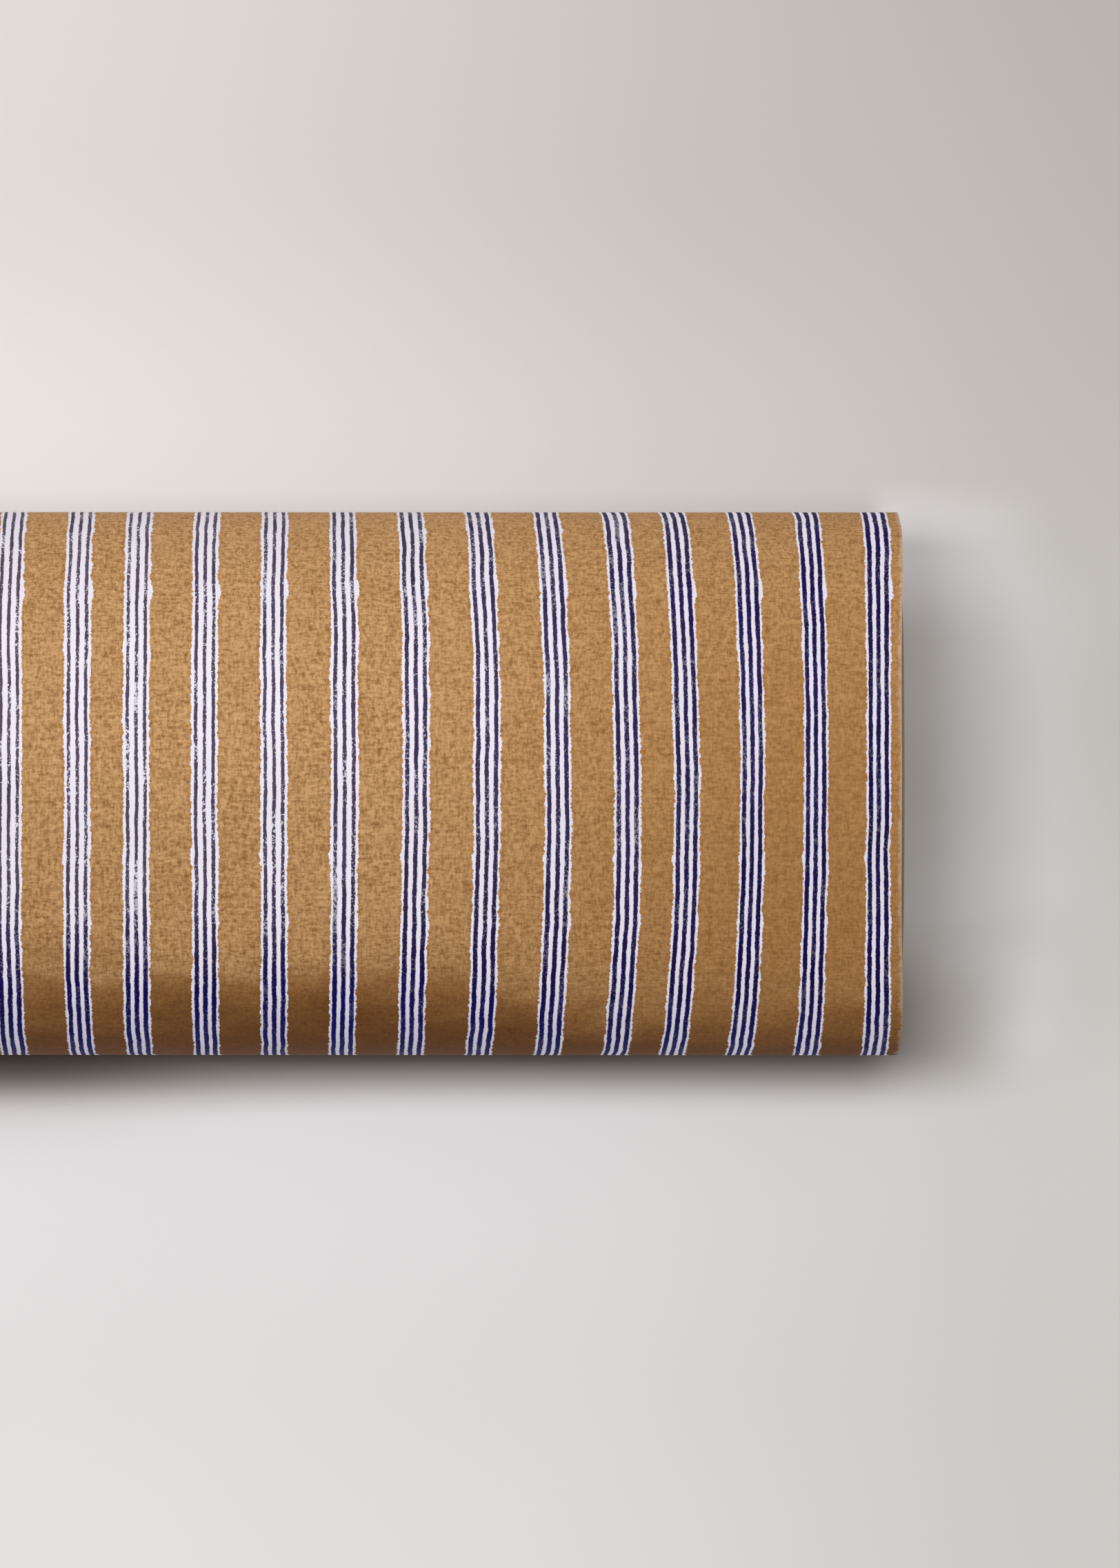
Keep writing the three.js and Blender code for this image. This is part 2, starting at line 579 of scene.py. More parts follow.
@dataclass(frozen=True)
class StripeLayout:
    """How the stripes are set out across the sheet, in millimetres.

    Attributes:
        first: Distance from the sheet's right edge to the first band's middle.
        repeat: Width of one print repeat, which holds eight bands.
        bands: Bands in one repeat.
        lead: Part of the repeat before its first band's middle.
        short_gap: How much the gap after the fourth band falls short of the others.
        gap_from: Where that gap starts in the repeat.
        gap_to: Where that gap ends in the repeat.
        band_half: Half the width of a white band.
        line_pitch: Distance between crayon lines.
        line_half: Half the width of a crayon line.
        bow: How far the bands bow sideways over the top of the roll.
        bow_rise: Distance from the edge at which the bow is largest.
        bow_fall: Distance from the edge at which it is gone.
        slow_drift: How far the bands wander sideways over some centimetres.
        quick_drift: How far they wander over some millimetres.
        waves: Size of the long waves in a band's edge.
        teeth: Size of its torn teeth.
        fringe: Size of its fine fringe.
        bulge: How much wider a band is where it swells.
        line_swell: How much a crayon line's half width varies along it.
        line_rough: Roughness of its edges.
        line_spare: What its half width is set up by, to allow for its soft edge.
        line_thinned: What its half width loses where painted sheen and dry brush pale it.
    """

    first: float = 2.25
    repeat: float = 48.73
    bands: int = 8
    lead: float = 3.0
    short_gap: float = 0.89
    gap_from: float = 22.9
    gap_to: float = 25.5
    band_half: float = 1.2
    line_pitch: float = 0.78
    line_half: float = 0.168
    bow: float = 1.1
    bow_rise: float = 20.0
    bow_fall: float = 66.0
    slow_drift: float = 0.5
    quick_drift: float = 0.28
    waves: float = 0.3
    teeth: float = 0.5
    fringe: float = 0.26
    bulge: float = 0.17
    line_swell: float = 0.14
    line_rough: float = 0.16
    line_spare: float = 0.065
    line_thinned: float = 0.065

    @property
    def pitch(self) -> float:
        """Distance between bands once the short gap is opened out."""
        return (self.repeat + self.short_gap) / self.bands


@dataclass(frozen=True)
class TurnTones:
    """How the print's tones change round each turn, by share of a turn past the top of the roll, with
    painted light and shade among them.

    Attributes:
        browning: Where the ochre turns brown.
        clearing: Where the brown ends.
        late_browning: How much later it starts, by distance from the sheet's edge in millimetres.
        ragged: How far the brown's borders wander.
        front_light_on_white: Where painted light brightens the white, from the top down the front.
        front_light_falloff: Where that gives way to painted shade, lower down.
        end_front: Painted shade on the white over the top and painted light in front, at the roll's
            end.
        end_back: Painted light on the white behind, at the roll's end.
        back_white: Painted shade on the white behind, everywhere.
        end_reach: How far from the sheet's edge the roll's end counts for the painted light and shade
            there, in millimetres.
        behind: Where the back of the roll gets less of the painted shade at the end.
        pale_middle: Share of a turn before the top at which the painted sheen makes the ink palest.
        pale_reach: How the paleness falls off from there.
        pale_inland: Paleness by distance from the sheet's edge, in millimetres.
    """

    browning: Fade = Fade(0.088, 0.194)
    clearing: Fade = Fade(0.3, 0.44, 1.0, 0.0)
    late_browning: Fade = Fade(12.0, 42.0, 0.034, 0.0)
    ragged: float = 0.13
    front_light_on_white: Fade = Fade(0.0, 0.09, 0.0, 0.1)
    front_light_falloff: Fade = Fade(0.105, 0.18, 1.0, -0.6)
    end_front: Fade = Fade(0.06, 0.2, -0.1, 0.1)
    end_back: Fade = Fade(-0.25, -0.06, 0.17, 0.0)
    back_white: Fade = Fade(-0.25, -0.02, -0.035, 0.0)
    end_reach: Fade = Fade(8.0, 52.0, 1.0, 0.0)
    behind: Fade = Fade(-0.22, 0.0, 0.2, 1.0)
    pale_middle: float = 0.11
    pale_reach: Fade = Fade(0.135, 0.25, 1.0, 0.0)
    pale_inland: Fade = Fade(4.0, 80.0, 0.05, 1.0)


class StripePrint(EffectGroup):
    """Torn-edged white bands, each with three crayon lines, across the width of the sheet.

    Attributes:
        side_lane: Sets a band's two edges apart in the noises.
        band_lane: Sets bands apart.
        wave_rate: Waves of a band's edge in one millimetre.
        tooth_rate: Torn teeth in one millimetre.
        fringe_rate: Fringe threads in one millimetre.
        fringe_reach: Changes of the fringe in one millimetre outwards.
        swell_rate: Swellings of a band in one millimetre.
        swell_start: Where the swellings start.
        swells: Which of them show.
        band_edge: Softness of a band's edge.
        blot_rate: Blots of stain in one millimetre.
        blots: Which of them show.
        stain_reach: How far the stain reaches out from a band.
        wobble_rate: Wobbles of a crayon line in one millimetre.
        wobble: Size of a wobble.
        line_edge: Softness of a crayon line's edge.
        grain_across: Grains of paper in one millimetre across a line.
        grain_down: Grains in one millimetre along it.
        skips: Which grains the crayon skips.
        skipped_least: Share of the skipped grain that shows where no sheen is painted.
    """

    title = "stripe_print"
    side_lane = 13.7
    band_lane = 0.22
    wave_rate = 0.42
    tooth_rate = 2.2
    fringe_rate = 7.5
    fringe_reach = 3.0
    swell_rate = 0.3
    swell_start = 1.95
    swells = Fade(0.14, 0.3)
    band_edge = Fade(-0.02, 0.04)
    blot_rate = 1.6
    blots = Fade(-0.12, 0.2)
    stain_reach = Fade(-0.5, -0.02)
    wobble_rate = 0.3
    wobble = 0.16
    line_edge = Fade(-0.02, 0.05)
    grain_across = 5.0
    grain_down = 3.8
    skips = Fade(0.12, 0.19)
    skipped_least = 0.1
    inputs = (
        GroupSocket("Vector", VECTOR),
        GroupSocket("Half Width", default=0.35),
        GroupSocket("Top Length", default=0.05),
        GroupSocket("Circumference", default=0.157),
    )
    outputs = (
        GroupSocket("Band"),
        GroupSocket("Band Light"),
        GroupSocket("Ink"),
        GroupSocket("Front Brown"),
        GroupSocket("Sheen And Dry Brush"),
        GroupSocket("Unshaded"),
        GroupSocket("Edge Stain"),
    )

    def __init__(self, layout: StripeLayout, tones: TurnTones = TurnTones()) -> None:
        """Keeps the layout of the stripes and their tones round a turn."""
        self.layout, self.tones = layout, tones

    def nodes(self, build: NodeBuilder, given: dict[str, Socket]) -> dict[str, Socket]:
        """Masks of the bands, the ink lines, the painted light and shade, and the brown over the
        lower front; see EffectGroup.nodes.
        """
        u, v, _ = build.split(given["Vector"])
        inward = build.product(build.math("SUBTRACT", given["Half Width"], u), 1000.0)
        down = build.product(v, 1000.0)
        turn_share = build.math(
            "DIVIDE", build.math("SUBTRACT", v, given["Top Length"]), given["Circumference"]
        )
        across, number = self._band(build, self._drifted(build, inward, down, turn_share))
        band, stain = self._band_mask(build, across, number, down)
        # Painted sheen: the ink is greyed over the top and back of the roll, and its dry brush gaps
        # grow there.
        sheen_and_dry_brush = self._sheen_and_dry_brush(build, inward, down, turn_share)
        # Painted shade: the ochre ground is darkened near the roll's right end, less at the back of
        # the roll.
        near_end = build.ramp(inward, *self.tones.end_reach)
        behind = build.ramp(turn_share, *self.tones.behind)
        unshaded = build.math("SUBTRACT", 1.0, build.product(near_end, behind))
        return {
            "Band": band,
            "Band Light": self._painted_band_light(build, near_end, turn_share),
            "Ink": self._ink_mask(build, across, number, down, sheen_and_dry_brush),
            "Front Brown": self._front_brown(build, inward, down, turn_share),
            "Sheen And Dry Brush": sheen_and_dry_brush,
            "Unshaded": unshaded,
            "Edge Stain": stain,
        }

    def _drifted(
        self, build: NodeBuilder, inward: Socket, down: Socket, turn_share: Socket
    ) -> Socket:
        """Distance from the sheet's edge in the print, which bows and wanders on the paper.

        Args:
            build: Adds nodes.
            inward: Distance from the sheet's right edge, in millimetres.
            down: Length from the free edge, in millimetres.
            turn_share: Turns from the top of the roll.

        Returns:
            The drifted distance.
        """
        layout = self.layout
        amount = build.product(
            build.ramp(inward, 0.0, layout.bow_rise),
            build.ramp(inward, layout.bow_rise, layout.bow_fall, 1.0, 0.0),
            layout.bow,
        )
        bow = build.product(build.math("COSINE", build.product(turn_share, math.tau)), amount)
        slow = build.product(build.streaks((inward, 0.05), (down, 0.035)), layout.slow_drift)
        quick = build.product(build.streaks((inward, 0.12), (down, 0.16), 5.0), layout.quick_drift)
        return build.sum(inward, bow, slow, quick)

    def _band(self, build: NodeBuilder, inward: Socket) -> tuple[Socket, Socket]:
        """Place in the nearest band, and that band's number.

        Args:
            build: Adds nodes.
            inward: Distance from the sheet's edge in the print, in millimetres.

        Returns:
            Distance from the band's middle, and the band's number.
        """
        layout = self.layout
        shifted = build.sum(inward, layout.lead - layout.first + layout.repeat)
        turns = build.math("FLOOR", build.math("DIVIDE", shifted, layout.repeat))
        place = build.math("SUBTRACT", shifted, build.product(turns, layout.repeat))
        opening = {0: place, 1: layout.gap_from, 2: layout.gap_to, 3: 0.0, 4: layout.short_gap}
        opened = build.sum(
            place, build.node("ShaderNodeMapRange", opening).outputs[0], -layout.lead
        )
        index = build.math("ROUND", build.math("DIVIDE", opened, layout.pitch))
        across = build.math("SUBTRACT", opened, build.product(index, layout.pitch))
        return across, build.sum(index, build.product(turns, float(layout.bands)))

    def _band_mask(
        self, build: NodeBuilder, across: Socket, number: Socket, down: Socket
    ) -> tuple[Socket, Socket]:
        """Where the white bands are, with torn edges that differ a little from band to band.

        Args:
            build: Adds nodes.
            across: Distance from the band's middle, in millimetres.
            number: The band's number.
            down: Length from the free edge, in millimetres.

        Returns:
            The bands, and the stained ground just outside them.
        """
        layout = self.layout
        side = build.product(build.math("SIGN", across), self.side_lane)
        lane = build.sum(side, build.product(number, self.band_lane))
        waves = build.streaks((down, self.wave_rate), (lane, 1.0))
        teeth = build.streaks((down, self.tooth_rate), (lane, 1.0), across, 3.0, 0.7)
        fringe = build.streaks((down, self.fringe_rate), (across, self.fringe_reach), lane)
        swelling = build.sum(build.product(down, self.swell_rate), self.swell_start)
        swell = build.noise(build.vector(swelling, side, 8.0), 1.0, 0.0)
        edge = build.sum(
            layout.band_half,
            build.product(waves, layout.waves),
            build.product(teeth, layout.teeth),
            build.product(fringe, layout.fringe),
            build.product(build.ramp(swell, *self.swells), layout.bulge),
        )
        inside = build.math("SUBTRACT", edge, build.math("ABSOLUTE", across))
        blot = build.streaks((down, self.blot_rate), (across, 1.0), lane)
        reach = build.ramp(inside, *self.stain_reach)
        stain = build.product(reach, build.ramp(blot, *self.blots))
        return build.ramp(inside, *self.band_edge), stain

    def _ink_mask(
        self, build: NodeBuilder, across: Socket, number: Socket, down: Socket, sheen_and_dry_brush: Socket
    ) -> Socket:
        """Where the crayon lines are, with grain showing through where the stroke is light.

        Args:
            build: Adds nodes.
            across: Distance from the band's middle, in millimetres.
            number: The band's number.
            down: Length from the free edge, in millimetres.
            sheen_and_dry_brush: How far painted sheen and dry brush pale the ink.

        Returns:
            The ink's strength.
        """
        layout = self.layout
        nearest = build.math("ROUND", build.math("DIVIDE", across, layout.line_pitch))
        line = build.math("MAXIMUM", -1.0, build.math("MINIMUM", 1.0, nearest))
        lane = build.sum(build.product(line, 5.3), build.product(number, 1.7))
        wobble = build.streaks((down, self.wobble_rate), (lane, 1.0), 3.0, 3.0)
        wander = build.product(wobble, self.wobble)
        middle = build.sum(build.product(line, layout.line_pitch), wander)
        width = build.streaks((down, 0.9), (lane, 1.0), 6.0, 3.0, 0.6)
        rough = build.streaks((down, 3.6), (across, 2.5), lane, roughness=0.7)
        half = build.sum(
            layout.line_half + layout.line_spare,
            build.product(width, layout.line_swell),
            build.product(rough, layout.line_rough),
            build.product(sheen_and_dry_brush, -layout.line_thinned),
        )
        away = build.math("ABSOLUTE", build.math("SUBTRACT", across, middle))
        stroke = build.ramp(build.math("SUBTRACT", half, away), *self.line_edge)
        pressure = build.streaks((down, 0.16), (lane, 1.0), 9.0, 3.0, 0.6)
        across_grain, down_grain = (across, self.grain_across), (down, self.grain_down)
        grain = build.streaks(across_grain, down_grain, lane, roughness=0.8)
        rim = build.product(build.math("DIVIDE", away, layout.line_half), 0.07)
        bare = build.sum(grain, build.product(pressure, 0.8), rim)
        skipped = build.ramp(bare, *self.skips)
        least = self.skipped_least
        # Dry brush gaps grow where the painted sheen is.
        shown = build.sum(least, build.product(sheen_and_dry_brush, 1.0 - least))
        missing = build.product(skipped, shown, 0.95)
        return build.product(stroke, build.math("SUBTRACT", 1.0, missing))

    def _front_brown(
        self, build: NodeBuilder, inward: Socket, down: Socket, turn_share: Socket
    ) -> Socket:
        """Where the ochre ground darkens to brown in soft blotches over the lower front of the roll,
        once each turn.

        Args:
            build: Adds nodes.
            inward: Distance from the sheet's right edge, in millimetres.
            down: Length from the free edge, in millimetres.
            turn_share: Turns from the top of the roll.

        Returns:
            The darkening's strength.
        """
        tones = self.tones
        border = build.streaks((inward, 0.05), (down, 0.08), detail=4.0, roughness=0.6)
        ragged = build.product(border, tones.ragged)
        later = build.ramp(inward, *tones.late_browning)
        share = build.math("FRACT", build.sum(turn_share, 1.0))
        near = build.math("SUBTRACT", build.sum(share, ragged), later)
        return build.product(build.ramp(near, *tones.browning), build.ramp(near, *tones.clearing))

    def _painted_band_light(self, build: NodeBuilder, near_end: Socket, turn_share: Socket) -> Socket:
        """Painted light and shade on the white bands: brighter down the front of each turn, darker
        below and behind, changed near the roll's end.

        Args:
            build: Adds nodes.
            near_end: How near the roll's right end is, from 0 to 1.
            turn_share: Turns from the top of the roll.

        Returns:
            The brightness, 1 where no light or shade is painted.
        """
        tones = self.tones
        # Painted light down the front of each turn, and painted shade below it.
        painted_front_light = build.product(
            build.ramp(turn_share, *tones.front_light_on_white), build.ramp(turn_share, *tones.front_light_falloff)
        )
        # Painted light and shade on the white near the roll's end.
        front = build.ramp(turn_share, *tones.end_front)
        back = build.ramp(turn_share, *tones.end_back)
        painted_end_light = build.product(near_end, build.sum(front, back))
        return build.sum(1.0, painted_front_light, painted_end_light, build.ramp(turn_share, *tones.back_white))

    def _sheen_and_dry_brush(
        self, build: NodeBuilder, inward: Socket, down: Socket, turn_share: Socket
    ) -> Socket:
        """Where a painted sheen greys the ink, with dry brush gaps: over the top and back of the
        roll, away from its end.

        Args:
            build: Adds nodes.
            inward: Distance from the sheet's right edge, in millimetres.
            down: Length from the free edge, in millimetres.
            turn_share: Turns from the top of the roll.

        Returns:
            The paleness, from 0 to 1.
        """
        tones = self.tones
        uneven = build.product(build.streaks((inward, 0.06), (down, 0.1), 3.0, 3.0), 0.35)
        away = build.math("ABSOLUTE", build.sum(turn_share, tones.pale_middle))
        inland = build.ramp(build.sum(inward, build.product(uneven, 20.0)), *tones.pale_inland)
        paleness = build.math("ADD", inland, uneven)
        return build.math("MULTIPLY", build.ramp(away, *tones.pale_reach), paleness, clamp=True)


class EdgeWear(EffectGroup):
    """Rubbed paper along the sheet's two cut edges."""

    title = "edge_wear"
    inputs = (
        GroupSocket("Vector", VECTOR),
        GroupSocket("Half Width", default=0.35),
        GroupSocket("Reach", default=0.0004),
    )
    outputs = (GroupSocket("Wear"),)

    def nodes(self, build: NodeBuilder, given: dict[str, Socket]) -> dict[str, Socket]:
        """Distance from the nearer edge, broken up by noise; see EffectGroup.nodes."""
        u, v, _ = build.split(given["Vector"])
        distance = build.math("SUBTRACT", given["Half Width"], build.math("ABSOLUTE", u))
        ratio = build.math("DIVIDE", distance, given["Reach"])
        ragged = build.noise(build.vector(build.product(v, 700.0), u), 1.0, 4.0, 0.7)
        return {"Wear": build.ramp(build.sum(ratio, build.product(ragged, 2.4)), 0.2, 1.0, 1.0, 0.0)}


@dataclass(frozen=True)
class LitPatch:
    """A painted patch of light on the table past an object's end, where open light would reach.

    Attributes:
        rise: How the light grows past the end.
        fall: How it falls off further out.
        front: Where the patch starts across the table.
        back: Where it ends.
    """

    rise: Fade
    fall: Fade
    front: Fade
    back: Fade

    def light(self, build: NodeBuilder, past: Socket, y: Socket) -> Socket:
        """The patch's light.

        Args:
            build: Adds nodes.
            past: Distance past the end.
            y: Place across the table.

        Returns:
            The light that it adds.
        """
        out = build.product(build.ramp(past, *self.rise), build.ramp(past, *self.fall))
        return build.product(out, build.ramp(y, *self.front), build.ramp(y, *self.back))


class ContactShade(EffectGroup):
    """The tight, soft darkening of a table just in front of what lies on it.

    Attributes:
        widening: What distances in front are shortened by along X, so that the shade is wider.
        shade: Darkening by distance in front.
        tucked: Where the shade starts, under the object.
        weaker: How it weakens at the object's end.
        gone: Where it is gone past the end.
        deep: More darkening in front, far from the end.
        deep_fall: How that falls off in front.
        deep_reach: Where along X it starts to fall off.
        hem: Darkening right at the object's edge.
        hem_reach: Where along X that falls off.
        patches: Painted patches of light.
    """

    title = "contact_shade"
    inputs = (
        GroupSocket("Vector", VECTOR),
        GroupSocket("Front", default=0.025),
        GroupSocket("End", default=0.35),
    )
    outputs = (GroupSocket("Light"),)
    widening = Fade(0.265, 0.315, 0.74, 1.0)
    shade = Fade(-1.8 * MM, 5.9 * MM, 0.95, 0.0)
    tucked = Fade(-14 * MM, -3 * MM)
    weaker = Fade(-4 * MM, 3 * MM, 1.0, 0.38)
    gone = Fade(2 * MM, 14 * MM, 1.0, 0.0)
    deep = Fade(1.2 * MM, 4.2 * MM, 0.5, 0.06)
    deep_fall = Fade(4.2 * MM, 9 * MM, 1.0, 0.0)
    deep_reach = Fade(0.268, 0.294, 1.0, 0.0)
    hem = Fade(0.5 * MM, 1.9 * MM, 0.18, 0.0)
    hem_reach = Fade(0.318, 0.335, 1.0, 0.0)
    patches = (
        LitPatch(
            rise=Fade(-3 * MM, 0.0),
            fall=Fade(0.0, 17 * MM, 0.37, 0.0),
            front=Fade(13 * MM, 21 * MM),
            back=Fade(23 * MM, 29 * MM, 1.0, 0.0),
        ),
        LitPatch(
            rise=Fade(0.0, 8 * MM, 0.0, 0.17),
            fall=Fade(11 * MM, 24 * MM, 1.0, 0.0),
            front=Fade(-20 * MM, -8 * MM),
            back=Fade(14 * MM, 26 * MM, 1.0, 0.0),
        ),
        LitPatch(
            rise=Fade(1 * MM, 5 * MM, 0.0, 0.11),
            fall=Fade(11 * MM, 20 * MM, 1.0, 0.0),
            front=Fade(-29 * MM, -23 * MM),
            back=Fade(-18 * MM, -13 * MM, 1.0, 0.0),
        ),
    )

    def nodes(self, build: NodeBuilder, given: dict[str, Socket]) -> dict[str, Socket]:
        """Distance in front of a straight edge, faded out past its ends; see EffectGroup.nodes."""
        x, y, _ = build.split(given["Vector"])
        in_front = build.math("SUBTRACT", build.product(y, -1.0), given["Front"])
        ahead = build.product(in_front, build.ramp(x, *self.widening))
        past = build.math("SUBTRACT", build.math("ABSOLUTE", x), given["End"])
        tucked = build.ramp(ahead, *self.tucked)
        at_end = build.product(build.ramp(past, *self.weaker), build.ramp(past, *self.gone))
        dark = build.product(build.ramp(ahead, *self.shade), tucked, at_end)
        deep = build.product(
            build.ramp(ahead, *self.deep),
            build.ramp(ahead, *self.deep_fall),
            build.ramp(x, *self.deep_reach),
        )
        hem = build.product(build.ramp(ahead, *self.hem), build.ramp(x, *self.hem_reach))
        under = build.product(tucked, build.math("MAXIMUM", deep, hem))
        # Painted light in patches past the roll's end.
        patches = [patch.light(build, past, y) for patch in self.patches]
        lit = build.sum(1.0, build.product(dark, -1.0), *patches)
        return {"Light": build.product(lit, build.math("SUBTRACT", 1.0, under))}


# ---------------------------------------------------------------------------------------------
# Finishes
# ---------------------------------------------------------------------------------------------

SHEET_MAP = "sheet"


@dataclass(frozen=True)
class Finish:
    """A material with its own name; each kind of finish adds its nodes.

    Attributes:
        name: The material's name.
    """

    name: str

    def material(self) -> bpy.types.Material:
        """The finish's material, made when it is first asked for.

        Returns:
            The material.
        """
        found = bpy.data.materials.get(self.name)
        if found:
            return found
        made = bpy.data.materials.new(self.name)
        made.use_nodes = True
        made.node_tree.nodes.clear()
        build = NodeBuilder(made.node_tree)
        shader = build.node("ShaderNodeBsdfPrincipled")
        output = build.node("ShaderNodeOutputMaterial")
        build.tree.links.new(shader.outputs[0], output.inputs[0])
        self.dress(build, shader)
        return made

    def dress(self, build: NodeBuilder, shader: bpy.types.Node) -> None:
        """Feeds the shader.

        Args:
            build: Adds nodes to the material.
            shader: The material's Principled BSDF.
        """
        raise NotImplementedError

    @staticmethod
    def bump(build: NodeBuilder, shader: bpy.types.Node, height: Socket, depth: float) -> None:
        """Feeds the shader's normal from a height.

        Args:
            build: Adds nodes to the material.
            shader: The shader.
            height: Height from about -1 to 1.
            depth: Size of one unit of height, in metres.
        """
        inputs = {"Strength": 1.0, "Distance": depth, "Height": height}
        made = build.node("ShaderNodeBump", inputs)
        build.feed(shader.inputs["Normal"], made.outputs[0])


@dataclass(frozen=True)
class PrintedSide(Finish):
    """The printed side of the sheet: satin ink on smooth paper.

    Attributes:
        place: The roll's place.
        layout: How the stripes are set out.
        ochre: The ground over most of the sheet.
        shaded_ochre: The ground near the roll's right end, darkened there as painted shade.
        warm_ochre: The ground's darker threads and stained borders.
        front_brown: The brown that the ground darkens to over the lower front of each turn.
        white: The bands.
        navy: The ink over the brown.
        thin_navy: The ink elsewhere.
        sheen_navy: The ink greyed by a painted sheen.
        bare_paper: The paper where its edge is worn.
        roughness: Roughness of the ink.
        gloss: Strength of its reflections.
        fibre_depth: Depth of its relief.
        stained: Strength of the stained borders.
        patch_shares: Shares of blotches, flecks and threads in the warm patches.
        warming: How those patches turn the ground warm.
        toasting: How the ground turns warm before it turns brown.
        brightness: Brightness of the ground.
        contrasts: What threads and blotches add to it.
        worn: Strength of the worn edge.
    """

    place: RollPlace
    layout: StripeLayout = StripeLayout()
    ochre: Colour = (0.425, 0.245, 0.108)
    shaded_ochre: Colour = (0.31, 0.16, 0.057)
    warm_ochre: Colour = (0.29, 0.135, 0.04)
    front_brown: Colour = (0.122, 0.046, 0.011)
    white: Colour = (0.745, 0.715, 0.8)
    navy: Colour = (0.001, 0.0, 0.1)
    thin_navy: Colour = (0.007, 0.003, 0.062)
    sheen_navy: Colour = (0.08, 0.057, 0.089)
    bare_paper: Colour = (0.72, 0.7, 0.66)
    roughness: float = 0.6
    gloss: float = 0.03
    fibre_depth: float = 0.004 * MM
    stained: float = 0.45
    patch_shares: tuple[float, float, float] = (0.28, 1.0, -1.1)
    warming: Fade = Fade(-0.26, 0.5, 0.0, 0.97)
    toasting: Fade = Fade(0.0, 0.5, 0.0, 0.75)
    brightness: float = 1.09
    contrasts: tuple[float, float] = (0.85, -0.05)
    worn: float = 0.2

    def dress(self, build: NodeBuilder, shader: bpy.types.Node) -> None:
        """Lays ochre cloth, white bands and crayon lines on the sheet; see Finish.dress."""
        sheet = build.node("ShaderNodeUVMap", uv_map=SHEET_MAP).outputs[0]
        place = self.place
        masks = StripePrint(self.layout).place(
            build,
            Vector=sheet,
            Half_Width=place.half_length,
            Top_Length=float(place.length_from_free_edge(np.array(TOP))),
            Circumference=math.tau * place.radius,
        )
        cloth = LinenPrint().place(build, Vector=sheet)
        fibre = PaperFibre().place(build, Vector=sheet, Density=1.0)
        wear = EdgeWear().place(build, Vector=sheet, Half_Width=place.half_length)
        build.feed(shader.inputs["Specular IOR Level"], self.gloss)
        # Painted shade near the roll's right end: the ground turns to a darker ochre there.
        ground = build.mix(masks["Unshaded"], self.shaded_ochre, self.ochre)
        stain = build.product(masks["Edge Stain"], self.stained)
        ground = build.mix(stain, ground, self.warm_ochre)
        blotches, flecks, threads = self.patch_shares
        patch = build.sum(
            build.product(cloth["Blotch"], blotches),
            build.product(cloth["Fleck"], flecks),
            build.product(cloth["Thread"], threads),
        )
        ground = build.mix(build.ramp(patch, *self.warming), ground, self.warm_ochre)
        # Darker brown towards the lower front of the roll, once each turn.
        ground = build.mix(build.ramp(masks["Front Brown"], *self.toasting), ground, self.warm_ochre)
        ground = build.mix(masks["Front Brown"], ground, self.front_brown)
        thread_contrast, blotch_contrast = self.contrasts
        brightness = build.sum(
            self.brightness,
            build.product(cloth["Thread"], thread_contrast),
            build.product(cloth["Blotch"], blotch_contrast),
        )
        ground = build.scaled_colour(ground, brightness)
        # Painted light and shade on the white bands, with a trace of blotch and fibre tone.
        faint = build.sum(
            masks["Band Light"],
            build.product(cloth["Blotch"], 0.06),
            build.product(fibre["Tone"], 0.04),
        )
        band = build.scaled_colour(self.white, faint)
        ink = build.mix(masks["Front Brown"], self.thin_navy, self.navy)
        # Painted sheen: the ink is greyed over the top and back of the roll.
        ink = build.mix(masks["Sheen And Dry Brush"], ink, self.sheen_navy)
        ink = build.scaled_colour(ink, build.sum(1.0, cloth["Blotch"]))
        colour = build.mix(masks["Band"], ground, band)
        colour = build.mix(build.product(masks["Ink"], masks["Band"]), colour, ink)
        colour = build.mix(build.product(wear["Wear"], self.worn), colour, self.bare_paper)
        build.feed(shader.inputs["Base Color"], colour)
        rough = build.sum(
            self.roughness, build.product(fibre["Tone"], 0.12), build.product(wear["Wear"], 0.25)
        )
        build.feed(shader.inputs["Roughness"], rough)
        height = build.sum(fibre["Height"], build.product(cloth["Thread"], 0.4))
        self.bump(build, shader, height, self.fibre_depth)


@dataclass(frozen=True)
class PlainSide(Finish):
    """The unprinted reverse of the sheet: bright white, uncoated and softly fibrous.

    Attributes:
        half_length: Half the sheet's width.
        colour: The paper.
        show_through: The paper over dark print.
        roughness: Roughness of the paper.
        fibre_depth: Depth of its fibres.
    """

    half_length: float = 0.35
    colour: Colour = (0.76, 0.755, 0.735)
    show_through: Colour = (0.68, 0.655, 0.62)
    roughness: float = 0.85
    fibre_depth: float = 0.01 * MM

    def dress(self, build: NodeBuilder, shader: bpy.types.Node) -> None:
        """Cloudy white with a trace of the print showing through; see Finish.dress."""
        sheet = build.node("ShaderNodeUVMap", uv_map=SHEET_MAP).outputs[0]
        fibre = PaperFibre().place(build, Vector=sheet, Density=0.7)
        masks = StripePrint(StripeLayout()).place(build, Vector=sheet, Half_Width=self.half_length)
        through = build.math("SUBTRACT", 0.55, build.product(masks["Band"], 0.5))
        colour = build.mix(through, self.colour, self.show_through)
        colour = build.scaled_colour(colour, build.sum(1.0, build.product(fibre["Tone"], 0.16)))
        build.feed(shader.inputs["Base Color"], colour)
        rough = build.sum(self.roughness, build.product(fibre["Tone"], 0.1))
        build.feed(shader.inputs["Roughness"], rough)
        self.bump(build, shader, fibre["Height"], self.fibre_depth)


